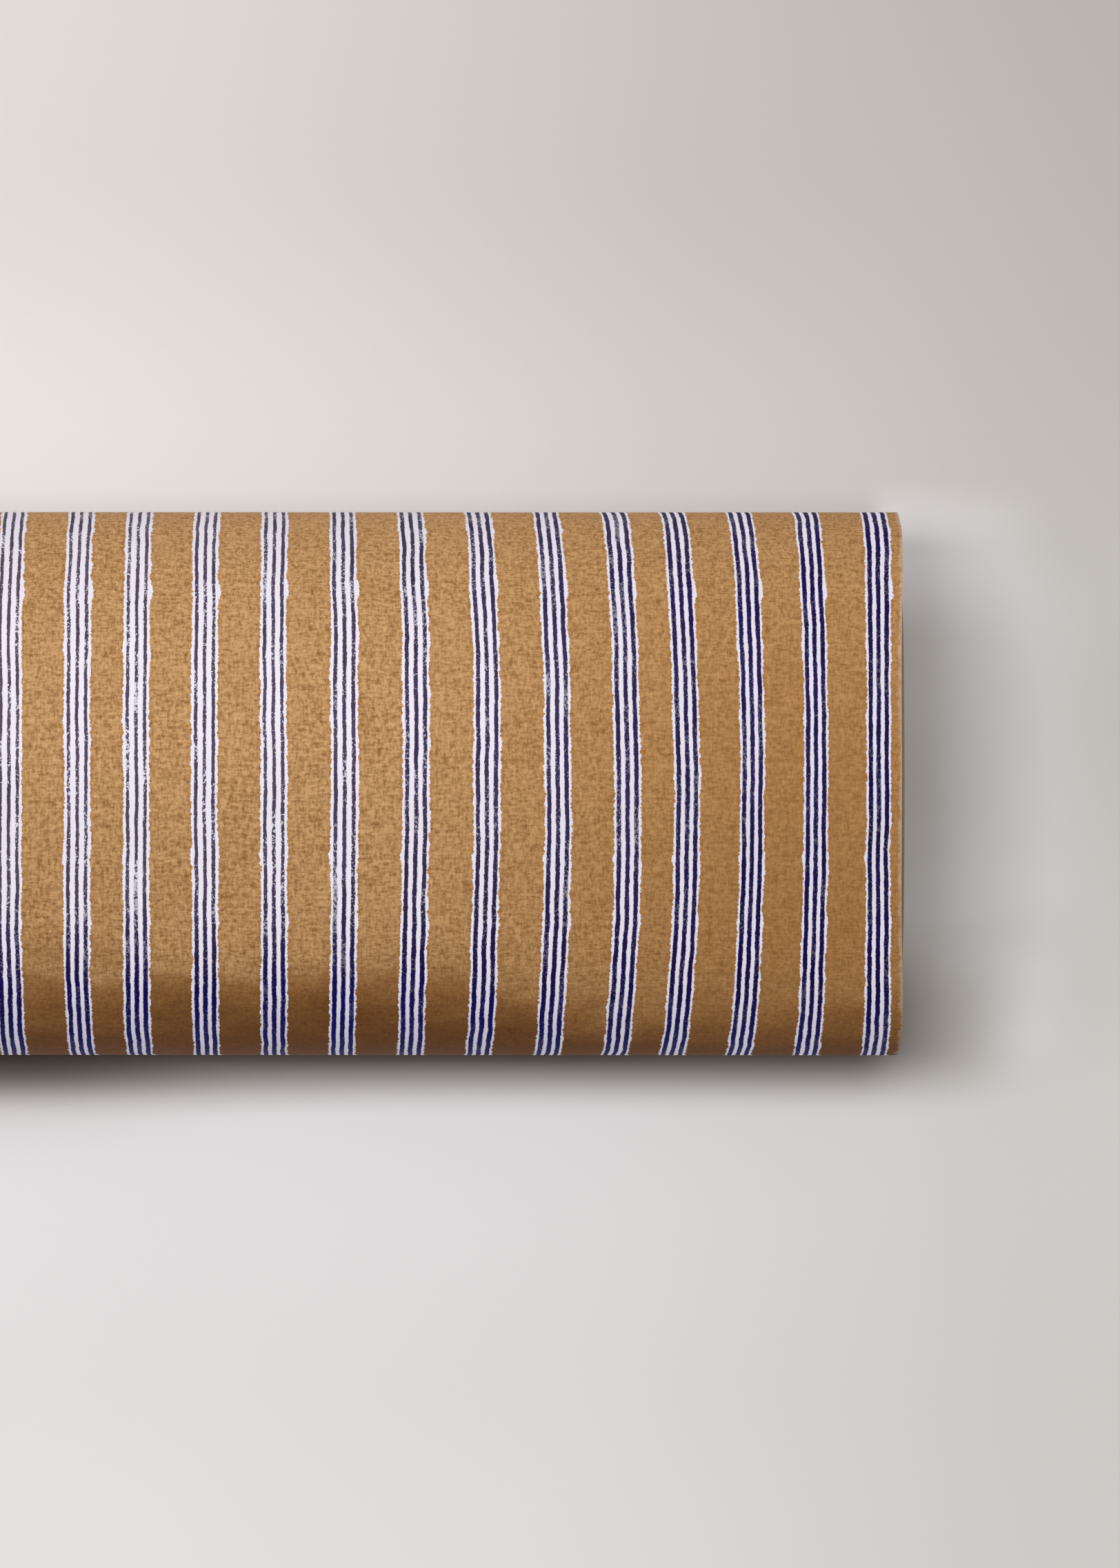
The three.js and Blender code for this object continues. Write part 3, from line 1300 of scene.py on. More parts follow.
@dataclass(frozen=True)
class CutEdge(Finish):
    """The cut edges of the paper, stacked turn on turn at the roll's ends.

    Attributes:
        colour: The clean edge.
        shade: The edge where ink or dirt stains it.
        roughness: Roughness of the edge.
        fibre_depth: Depth of its fibres.
    """

    colour: Colour = (0.66, 0.62, 0.55)
    shade: Colour = (0.42, 0.36, 0.29)
    roughness: float = 0.9
    fibre_depth: float = 0.03 * MM

    def dress(self, build: NodeBuilder, shader: bpy.types.Node) -> None:
        """Chalky edge with grey and ink-stained stretches; see Finish.dress."""
        where = build.node("ShaderNodeTexCoord").outputs["Object"]
        fibre = PaperFibre().place(build, Vector=where, Density=1.0)
        _, y, z = build.split(where)
        stain = build.noise(build.vector(0.0, y, z), 260.0, 4.0, 0.65)
        colour = build.mix(build.ramp(stain, -0.02, 0.22), self.colour, self.shade)
        colour = build.scaled_colour(colour, build.sum(1.0, build.product(fibre["Tone"], 0.3)))
        build.feed(shader.inputs["Base Color"], colour)
        build.feed(shader.inputs["Roughness"], build.sum(self.roughness, build.product(stain, 0.1)))
        self.bump(build, shader, fibre["Height"], self.fibre_depth)


@dataclass(frozen=True)
class CoreBoard(Finish):
    """Grey-brown recycled board of the core.

    Attributes:
        axis_height: Height of the core's axis.
        colour: The board.
        flecks: Dark fibres in it.
        ply_pitch: Thickness of one ply.
        roughness: Roughness of the board.
        fibre_depth: Depth of its fibres.
    """

    axis_height: float = 0.025
    colour: Colour = (0.36, 0.27, 0.18)
    flecks: Colour = (0.14, 0.1, 0.07)
    ply_pitch: float = 0.35 * MM
    roughness: float = 0.9
    fibre_depth: float = 0.03 * MM

    def dress(self, build: NodeBuilder, shader: bpy.types.Node) -> None:
        """Mottled board with dark flecks, and plies showing where it is cut; see Finish.dress."""
        where = build.node("ShaderNodeTexCoord").outputs["Object"]
        x, y, z = build.split(where)
        up = build.math("SUBTRACT", z, self.axis_height)
        radius = build.math("SQRT", build.sum(build.product(y, y), build.product(up, up)))
        turn = build.math("ARCTAN2", y, up)
        wall = build.vector(x, build.product(turn, 0.019), radius)
        fibre = PaperFibre().place(build, Vector=wall, Density=0.6)
        ply = build.math("SINE", build.math("DIVIDE", radius, self.ply_pitch / math.tau))
        fleck = build.ramp(build.noise(wall, 900.0, 2.0, 0.7), 0.2, 0.27)
        colour = build.mix(build.product(fleck, 0.7), self.colour, self.flecks)
        tone = build.sum(1.0, build.product(fibre["Tone"], 0.5), build.product(ply, 0.05))
        build.feed(shader.inputs["Base Color"], build.scaled_colour(colour, tone))
        build.feed(shader.inputs["Roughness"], build.sum(self.roughness, build.product(fleck, -0.15)))
        height = build.sum(fibre["Height"], build.product(ply, 0.3))
        self.bump(build, shader, height, self.fibre_depth)


@dataclass(frozen=True)
class ClearTape(Finish):
    """Frosted clear tape.

    Attributes:
        colour: The film.
        trapped_air: The film where air is trapped under it.
        roughness: Roughness of the film.
        alpha: Cover of the film.
        ripple: Depth of its relief.
    """

    colour: Colour = (0.86, 0.85, 0.8)
    trapped_air: Colour = (0.95, 0.95, 0.93)
    roughness: float = 0.3
    alpha: float = 0.34
    ripple: float = 0.02 * MM

    def dress(self, build: NodeBuilder, shader: bpy.types.Node) -> None:
        """Satin film with air trapped under it in patches; see Finish.dress."""
        where = build.node("ShaderNodeTexCoord").outputs["Object"]
        bubbles = build.noise(where, 420.0, 4.0, 0.65)
        trapped = build.ramp(bubbles, 0.02, 0.16)
        build.feed(shader.inputs["Base Color"], build.mix(trapped, self.colour, self.trapped_air))
        build.feed(shader.inputs["Alpha"], build.sum(self.alpha, build.product(trapped, 0.16)))
        build.feed(shader.inputs["Roughness"], build.sum(self.roughness, build.product(bubbles, 0.2)))
        self.bump(build, shader, bubbles, self.ripple)


# ---------------------------------------------------------------------------------------------
# Meshes
# ---------------------------------------------------------------------------------------------

BAKE_MAP = "OFBake"


def smooth(value: np.ndarray) -> np.ndarray:
    """Smooth step from 0 to 1.

    Args:
        value: Values; what is below 0 or above 1 is held there.

    Returns:
        The steps' values.
    """
    held = np.clip(value, 0.0, 1.0)
    return held * held * (3.0 - 2.0 * held)


@dataclass
class Shell:
    """A thin closed solid between two faces that share one grid of rows and columns.

    Attributes:
        outer: Points of the outer face, by row, column and axis.
        inner: Points of the inner face.
        outer_normals: Shading normals of the outer face, in the same order.
        flat: Place of each point on the flat sheet, by row, column and (along, length).
        ring: Whether the last row joins the first.
        fold: How many lengths the bake map is folded into.
        reverse_share: Share of the bake map's height that the inner face takes.
        cut_share: Share of it that the cut edges take.
        margin: Gap at the sides of the bake map, and under its cut edges.
        lane_margin: Gap at each side of a folded length, as a share of it.
    """

    outer: np.ndarray
    inner: np.ndarray
    outer_normals: np.ndarray
    flat: np.ndarray
    ring: bool = False
    fold: int = 1
    reverse_share: float = 0.2
    cut_share: float = 0.02
    margin: float = 0.003
    lane_margin: float = 0.03

    def _quads(self) -> tuple[np.ndarray, np.ndarray]:
        """Faces as vertex numbers, and each face's side of the sheet.

        Returns:
            Faces by number and corner, and one Side value for each face.
        """
        rows, columns = self.outer.shape[:2]
        number = np.arange(rows * columns).reshape(rows, columns)
        if self.ring:
            number = np.vstack([number, number[:1]])
        reverse = number + rows * columns
        here, beside = number[:-1, :-1], number[:-1, 1:]
        over, ahead = number[1:, 1:], number[1:, :-1]
        below = rows * columns
        faces = [np.stack([here, beside, over, ahead], -1).reshape(-1, 4)]
        faces.append(np.stack([here, ahead, over, beside], -1).reshape(-1, 4) + below)
        rims = [
            np.stack([number[:-1, 0], number[1:, 0], reverse[1:, 0], reverse[:-1, 0]], -1),
            np.stack([number[:-1, -1], reverse[:-1, -1], reverse[1:, -1], number[1:, -1]], -1),
        ]
        if not self.ring:
            first, last = number[0], number[-1]
            rims.append(np.stack([first[:-1], first[:-1] + below, first[1:] + below, first[1:]], -1))
            rims.append(np.stack([last[:-1], last[1:], last[1:] + below, last[:-1] + below], -1))
        faces.append(np.vstack(rims))
        sides = [np.full(len(group), side.value) for group, side in zip(faces, Side)]
        return np.vstack(faces), np.concatenate(sides)

    def _bake_corners(self, sides: np.ndarray) -> np.ndarray:
        """Places of every face corner in the bake map, folded so that none overlap.

        Args:
            sides: Side value of each face.

        Returns:
            Places by face, corner and axis.
        """
        rows, columns = self.outer.shape[:2]
        down = rows if self.ring else rows - 1
        across = columns - 1
        wide = math.ceil(across / self.fold)
        row, column = (part.ravel() for part in np.mgrid[0:down, 0:across])
        lane, place = column // wide, column % wide
        heights = (1.0 - self.reverse_share - self.cut_share, self.reverse_share)
        starts = (self.cut_share + self.reverse_share, self.cut_share)
        corners = np.zeros((len(sides), 4, 2))
        steps = {
            Side.PRINTED: ((0, 0), (1, 0), (1, 1), (0, 1)),
            Side.REVERSE: ((0, 0), (0, 1), (1, 1), (1, 0)),
        }
        for side, start, height in zip(steps, starts, heights):
            lane_height = height / self.fold
            chosen = np.flatnonzero(sides == side.value)
            for corner, (right, up) in enumerate(steps[side]):
                u = self.margin + (1.0 - 2.0 * self.margin) * (place + right) / wide
                inside = self.lane_margin + (1.0 - 2.0 * self.lane_margin) * (row + up) / down
                corners[chosen, corner] = np.stack([u, start + lane_height * (lane + inside)], -1)
        rims = np.flatnonzero(sides == Side.CUT.value)
        cell = np.arange(len(rims)) / len(rims)
        for corner, (right, up) in enumerate(((0, 0), (1, 0), (1, 1), (0, 1))):
            corners[rims, corner, 0] = cell + right * 0.9 / len(rims)
            corners[rims, corner, 1] = self.margin + 0.6 * self.cut_share * up
        return corners

    def build(self, name: str, materials: Sequence[bpy.types.Material]) -> bpy.types.Object:
        """Makes the object.

        Args:
            name: Its name.
            materials: Materials of the printed side, the reverse and the cut edges.

        Returns:
            The object.
        """
        faces, sides = self._quads()
        vertices = np.vstack([self.outer.reshape(-1, 3), self.inner.reshape(-1, 3)])
        mesh = bpy.data.meshes.new(name)
        mesh.from_pydata(vertices.tolist(), [], faces.tolist())
        for material in materials:
            mesh.materials.append(material)
        mesh.polygons.foreach_set("material_index", sides.astype(np.int32))
        mesh.polygons.foreach_set("use_smooth", np.ones(len(sides), dtype=bool))
        flat = np.tile(self.flat.reshape(-1, 2), (2, 1))[faces]
        mesh.uv_layers.new(name=SHEET_MAP).uv.foreach_set("vector", flat.ravel())
        bake = self._bake_corners(sides)
        mesh.uv_layers.new(name=BAKE_MAP).uv.foreach_set("vector", bake.ravel())
        outward = self.outer_normals.reshape(-1, 3)
        normals = np.vstack([outward, -outward])[faces]
        edge_a = vertices[faces[:, 2]] - vertices[faces[:, 0]]
        edge_b = vertices[faces[:, 3]] - vertices[faces[:, 1]]
        flat_normals = np.cross(edge_a, edge_b)
        flat_normals /= np.maximum(np.linalg.norm(flat_normals, axis=1, keepdims=True), 1e-20)
        cut = sides == Side.CUT.value
        normals[cut] = flat_normals[cut][:, None, :]
        mesh.normals_split_custom_set(normals.reshape(-1, 3).tolist())
        made = bpy.data.objects.new(name, mesh)
        bpy.context.scene.collection.objects.link(made)
        return made


# ---------------------------------------------------------------------------------------------
# The sheet
# ---------------------------------------------------------------------------------------------


@dataclass
class SheetSurface:
    """Where the rolled sheet runs.

    Attributes:
        place: The roll's place.
        sheet: The sheet.
        tape_places: X of each tape tab, where the free edge is held down.
        edge_recess: How far the sheet's two edges draw in at the front and back.
        end_lip: How far the rim of the sheet's edges stands in over the top, from true.
        unevenness: Height of the outer turn's soft waves.
        edge_lift: How far the free edge stands off between the tabs.
        telescoping: How far inner turns stand in from the ends at most.
        lip_turn: Squared sine of the angle at which the rim comes forward again.
        lip_forward: How far it has come forward there, in end lips.
        lip_return: How much of that it loses at the front and back.
        rim_width: Width of the rim.
        wave_onset: Angle over which the outer turn's waves set in, in degrees.
        lift_onset: Angle over which the free edge lifts off, in degrees.
        hold_reach: How far along the roll a tab holds the free edge down.
        seed: Sets the waves and the telescoping.
    """

    place: RollPlace
    sheet: Sheet
    tape_places: Sequence[float] = ()
    edge_recess: float = 0.3 * MM
    end_lip: float = 0.35 * MM
    unevenness: float = 0.05 * MM
    edge_lift: float = 0.22 * MM
    telescoping: float = 0.45 * MM
    lip_turn: float = 0.85
    lip_forward: float = 1.71
    lip_return: float = 0.49
    rim_width: float = 6 * MM
    wave_onset: float = 40.0
    lift_onset: float = 32.0
    hold_reach: float = 0.03
    seed: int = 11

    def __post_init__(self) -> None:
        """Draws the phases of the soft waves and of the telescoped turns."""
        chance = np.random.default_rng(self.seed)
        self._phases = chance.uniform(0.0, math.tau, 8)
        turns = int((self.place.radius - self.sheet.core_radius) / self.sheet.pitch) + 3
        self._stand_in = chance.uniform(0.0, 1.0, (2, turns))

    def _waves(self, angle: np.ndarray, along: np.ndarray) -> np.ndarray:
        """Outward-only soft waves of the outer turn.

        Args:
            angle: Winding angles, in degrees.
            along: X on the flat sheet.

        Returns:
            The waves' heights.
        """
        a, b, c, d = self._phases[:4]
        turn = np.radians(angle)
        slow = np.sin(along * 31.0 + 1.3 * turn + a) * np.cos(2.0 * turn + b)
        quick = np.sin(along * 83.0 - 2.1 * turn + c) * np.cos(3.0 * turn + 9.0 * along + d)
        start = self.place.lift_angle - self.place.strip_angle / 2
        share = smooth((angle - start) / self.wave_onset)
        return self.unevenness * share * (0.5 + 0.3 * slow + 0.2 * quick)

    def _lifted(self, angle: np.ndarray, along: np.ndarray) -> np.ndarray:
        """How far the free edge stands off, away from the tape tabs.

        Args:
            angle: Winding angles, in degrees.
            along: X on the flat sheet.

        Returns:
            The distances off.
        """
        held = sum(np.exp(-(((along - x) / self.hold_reach) ** 2)) for x in self.tape_places)
        start = self.place.free_edge_angle - self.lift_onset
        near = smooth((angle - start) / self.lift_onset)
        return self.edge_lift * near * (1.0 - np.clip(held, 0.0, 1.0))

    def _drawn_in(self, angle: np.ndarray, along: np.ndarray) -> np.ndarray:
        """How far an edge of the sheet stands in from the end of the roll.

        Args:
            angle: Winding angles, in degrees.
            along: X on the flat sheet.

        Returns:
            The distances in.
        """
        place, last_turn = self.place, self._stand_in.shape[1] - 2.0
        flank = np.sin(np.radians(angle)) ** 2
        forward = self.lip_forward * smooth(flank / self.lip_turn)
        back = self.lip_return * smooth((flank - self.lip_turn) / (1.0 - self.lip_turn))
        rim = smooth((np.abs(along) - place.half_length) / self.rim_width + 1.0)
        silhouette = self.edge_recess * flank + self.end_lip * (1.0 - forward + back) * rim
        turn = (place.free_edge_angle - angle) / FULL_TURN
        deeper = np.clip(turn - 1.0, 0.0, last_turn)
        first = deeper.astype(int)
        share = smooth(deeper - first)
        side = (along > 0).astype(int)
        here, beyond = self._stand_in[side, first], self._stand_in[side, first + 1]
        stand_in = here * (1 - share) + beyond * share
        return silhouette + self.telescoping * stand_in * smooth(turn - 1.0)

    def points(self, angle: np.ndarray, along: np.ndarray, depth: float) -> np.ndarray:
        """Points of the sheet.

        Args:
            angle: Winding angles, in degrees.
            along: X on the flat sheet.
            depth: Distance below the printed side.

        Returns:
            Points, with the axes last.
        """
        place = self.place
        nominal = self.sheet.outer_radius(place, angle)
        outermost = angle > place.free_edge_angle - FULL_TURN
        soft = self._waves(angle, along) + self._lifted(angle, along)
        radius = nominal - depth + np.where(outermost, soft, 0.0)
        y, z = place.section(radius, angle)
        hang = place.table_radius * np.cos(np.radians(angle))
        below = np.maximum(0.0, hang - place.axis_height)
        share = (radius - self.sheet.core_radius) / (place.radius - self.sheet.core_radius)
        z = z + below * np.clip(share, 0.0, 1.0)
        x = along * (1.0 - self._drawn_in(angle, along) / place.half_length)
        return np.stack([x, y, np.maximum(z, 0.0)], -1)

    def normals(self, angle: np.ndarray, along: np.ndarray) -> np.ndarray:
        """Outward shading normals of the printed side.

        Args:
            angle: Winding angles, in degrees.
            along: X on the flat sheet.

        Returns:
            Unit vectors, with the axes last.
        """
        turn, step = 0.25, 0.5 * MM
        round_ = self.points(angle + turn, along, 0.0) - self.points(angle - turn, along, 0.0)
        length = self.points(angle, along + step, 0.0) - self.points(angle, along - step, 0.0)
        found = np.cross(length, round_)
        return found / np.maximum(np.linalg.norm(found, axis=-1, keepdims=True), 1e-20)

    def shell(self, low: float, high: float, step: float, columns: int, fold: int) -> Shell:
        """The sheet between two winding angles, as a thin solid.

        Args:
            low: First winding angle.
            high: Last winding angle.
            step: Greatest angle between rows.
            columns: Faces along the roll.
            fold: How many lengths its bake map is folded into.

        Returns:
            The solid.
        """
        rows = np.linspace(low, high, math.ceil((high - low) / step) + 1)
        reach = self.place.half_length
        angle, along = np.meshgrid(rows, np.linspace(-reach, reach, columns + 1), indexing="ij")
        flat = np.stack([along, self.place.length_from_free_edge(angle)], -1)
        return Shell(
            self.points(angle, along, 0.0),
            self.points(angle, along, self.sheet.thickness),
            self.normals(angle, along),
            flat,
            fold=fold,
        )


@dataclass
class OuterTurn:
    """The sheet's outer turn, in strips that are each centred on one hinge.

    Attributes:
        surface: Where the sheet runs.
        step: Section angle between rows.
        fold: How many lengths each strip's bake map is folded into.
    """

    surface: SheetSurface
    step: float = 1.0
    fold: int = 7

    def build(self, materials: Sequence[bpy.types.Material]) -> list[bpy.types.Object]:
        """Makes the strips.

        Args:
            materials: Materials of the printed side, the reverse and the cut edges.

        Returns:
            The strips in order, each centred on its hinge.
        """
        place = self.surface.place
        strips = []
        for number in range(place.strip_count):
            hinge = place.lift_angle + number * place.strip_angle
            low, high = hinge - place.strip_angle / 2, hinge + place.strip_angle / 2
            reach = place.free_edge_angle if number == place.strip_count - 1 else high
            shell = self.surface.shell(low, reach, self.step, self.surface.sheet.columns, self.fold)
            strip = shell.build(f"outer_turn_paper_{number + 1:02d}", materials)
            start, end = (tuple(place.point(place.radius, angle)) for angle in (low, high))
            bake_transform(strip)
            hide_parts(f"outer_turn_{number + 1}")
            strips.append(strip)
        return strips


@dataclass
class WoundTurns:
    """What stays on the core when the outer turn lifts: one full turn under it, then all the rest.

    Attributes:
        surface: Where the sheet runs.
        step: Section angle between rows of the first full turn.
        fold: How many lengths that turn's bake map is folded into.
    """

    surface: SheetSurface
    step: float = 1.0
    fold: int = 3

    def build(self, materials: Sequence[bpy.types.Material]) -> list[bpy.types.Object]:
        """Makes the turn under the outer one and the turns wound below it.

        Args:
            materials: Materials of the printed side, the reverse and the cut edges.

        Returns:
            The two pieces.
        """
        place, sheet = self.surface.place, self.surface.sheet
        outermost = place.lift_angle - place.strip_angle / 2
        under = outermost - FULL_TURN
        spare = place.radius - sheet.pitch * (place.free_edge_angle - under) / FULL_TURN
        turns = (spare - sheet.core_radius) / sheet.pitch
        shell = self.surface.shell(under, outermost, self.step, sheet.columns, self.fold)
        first = shell.build("under_turn", materials)
        rest = self.surface.shell(under - turns * FULL_TURN, under, sheet.step, 1, 1)
        rest.reverse_share = 0.4
        wound = rest.build("wound_turns", materials)
        for piece in (first, wound):
            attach(piece, "roll")
            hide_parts("wound_sheet")
        return [first, wound]


# ---------------------------------------------------------------------------------------------
# The core
# ---------------------------------------------------------------------------------------------


@dataclass(frozen=True)
class Ply:
    """One layer of the core.

    Attributes:
        name: Name of its piece.
        node: The CAD node that it stands for.
        helical: Whether it is a strip that winds along the core.
        phase: Share of a turn at which the strip starts.
    """

    name: str
    node: str
    helical: bool
    phase: float = 0.0


@dataclass
class Core:
    """The spiral-wound board core, one piece for each layer.

    Attributes:
        place: The roll's place.
        step: Section angle between rows.
        advance: Length of core that one turn of a strip covers.
        seam: Gap between a strip's turns.
        plies: The layers, from the outside in.
    """

    place: RollPlace
    step: float = 3.0
    advance: float = 90 * MM
    seam: float = 0.5 * MM
    plies: Sequence[Ply] = (
        Ply("core_outer_wrap", "core_outer_liner", True),
        Ply("core_body_plies", "core_body", False),
        Ply("core_inner_wrap", "core_inner_liner", True, 0.5),
    )

    def _radii(self, node: str) -> tuple[float, float]:
        """Inside and outside radius of a layer, measured on its CAD node.

        Args:
            node: The CAD node.

        Returns:
            The two radii.
        """
        mesh = frame["nodes"][node].data
        points = np.array([vertex.co for vertex in mesh.vertices])
        away = np.hypot(points[:, 1], points[:, 2] - self.place.axis_height)
        return float(away.min()), float(away.max())

    def _ring(self, radius: float, angle: np.ndarray, along: np.ndarray) -> np.ndarray:
        """Points on a cylinder round the core's axis.

        Args:
            radius: The cylinder's radius.
            angle: Section angles, in degrees.
            along: X of each point.

        Returns:
            Points, with the axes last.
        """
        y, z = self.place.section(np.full_like(angle, radius), angle)
        return np.stack([along, y, z], -1)

    def _layer(self, ply: Ply) -> Shell:
        """The solid of one layer.

        Args:
            ply: The layer.

        Returns:
            A ring for a plain layer, or a strip that runs along a helix.
        """
        inside, outside = self._radii(ply.node)
        reach = self.place.half_length
        if ply.helical:
            turns = math.ceil(2 * reach / self.advance) + 2
            rows = np.arange(0.0, turns * FULL_TURN + self.step, self.step) + ply.phase * FULL_TURN
            low = (rows / FULL_TURN - ply.phase - 1.0) * self.advance - reach
            share = np.linspace(0.0, 1.0, 5)
            along = low[:, None] + share[None, :] * (self.advance - self.seam)
            angle = np.repeat(rows[:, None], 5, axis=1)
            along = np.clip(along, -reach, reach)
        else:
            rows = np.arange(0.0, FULL_TURN, self.step)
            angle, along = np.meshgrid(rows, np.linspace(-reach, reach, 29), indexing="ij")
        outward = self._ring(1.0, angle, along) - self._ring(0.0, angle, along)
        flat = np.stack([along, np.radians(angle) * outside], -1)
        faces = self._ring(outside, angle, along), self._ring(inside, angle, along)
        return Shell(*faces, outward, flat, ring=not ply.helical)

    def build(self, material: bpy.types.Material) -> list[bpy.types.Object]:
        """Makes the layers.

        Args:
            material: The board's material.

        Returns:
            The layers, from the outside in.
        """
        pieces = []
        for ply in self.plies:
            piece = self._layer(ply).build(ply.name, [material] * len(Side))
            self._drop_empty_faces(piece)
            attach(piece, "core")
            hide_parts(ply.node)
            pieces.append(piece)
        return pieces

    @staticmethod
    def _drop_empty_faces(piece: bpy.types.Object) -> None:
        """Takes out faces that the core's square-cut ends left without area.

        Args:
            piece: The layer.
        """
        mesh = piece.data
        areas = np.zeros(len(mesh.polygons))
        mesh.polygons.foreach_get("area", areas)
        if areas.min() > 1e-12:
            return
        edit = bmesh.new()
        edit.from_mesh(mesh)
        edit.faces.ensure_lookup_table()
        empty = [edit.faces[number] for number in np.flatnonzero(areas <= 1e-12)]
        bmesh.ops.delete(edit, geom=empty, context="FACES")
        edit.to_mesh(mesh)
        edit.free()


# ---------------------------------------------------------------------------------------------
# Closing tape
# ---------------------------------------------------------------------------------------------


@dataclass
class ClosingTape:
    """Tabs of clear tape over the free edge, torn off on a toothed cutter.

    Attributes:
        place: The roll's place.
        nodes: The CAD node of each tab.
        tooth: Distance between teeth of the cut.
        bite: Depth of a tooth.
        step: Section angle between rows.
        drop: How far the film steps down past the sheet's edge.
    """

    place: RollPlace
    nodes: Sequence[str] = ("closing_tape_left", "closing_tape_middle", "closing_tape_right")
    tooth: float = 1.2 * MM
    bite: float = 0.45 * MM
    step: float = 1.0
    drop: float = 0.12 * MM

    def middles(self) -> list[float]:
        """X of each tab's middle."""
        return [float((low[0] + high[0]) / 2) for low, high in map(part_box, self.nodes)]

    def _shell(self, node: str) -> Shell:
        """The film of one tab.

        Args:
            node: The tab's CAD node.

        Returns:
            Its solid.
        """
        place = self.place
        mesh = frame["nodes"][node].data
        points = np.array([vertex.co for vertex in mesh.vertices])
        up = points[:, 2] - place.axis_height
        angles = np.degrees(np.arctan2(-points[:, 1], -up)) % FULL_TURN
        radii = np.hypot(points[:, 1], up)
        low, high = float(points[:, 0].min()), float(points[:, 0].max())
        teeth = max(1, round((high - low) / self.tooth))
        columns = np.linspace(low, high, 2 * teeth + 1)
        zigzag = np.degrees(self.bite / place.radius) * (np.arange(len(columns)) % 2)
        rows = np.linspace(0.0, 1.0, math.ceil(float(np.ptp(angles)) / self.step) + 1)[:, None]
        low_cut, high_cut = angles.min() + zigzag, angles.max() - zigzag
        angle = low_cut[None, :] * (1 - rows) + high_cut[None, :] * rows
        along = np.broadcast_to(columns, angle.shape)
        past = smooth((angle - place.free_edge_angle) / 4.0)
        faces = []
        for radius in (radii.max(), radii.min()):
            y, z = place.section(radius - self.drop * past, angle)
            faces.append(np.stack([along, y, z], -1))
        turn = np.radians(angle)
        outward = np.stack([np.zeros_like(turn), -np.sin(turn), -np.cos(turn)], -1)
        flat = np.stack([along, turn * place.radius], -1)
        return Shell(faces[0], faces[1], outward, flat)

    def build(self, material: bpy.types.Material) -> list[bpy.types.Object]:
        """Makes the tabs.

        Args:
            material: The film's material.

        Returns:
            The tabs from left to right.
        """
        pieces = []
        for node in self.nodes:
            name = node.replace("closing_tape", "tape_tab")
            piece = self._shell(node).build(name, [material] * len(Side))
            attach(piece, f"turn_{self.place.strip_count}")
            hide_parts(node)
            pieces.append(piece)
        return pieces


# ---------------------------------------------------------------------------------------------
# Studio
# ---------------------------------------------------------------------------------------------


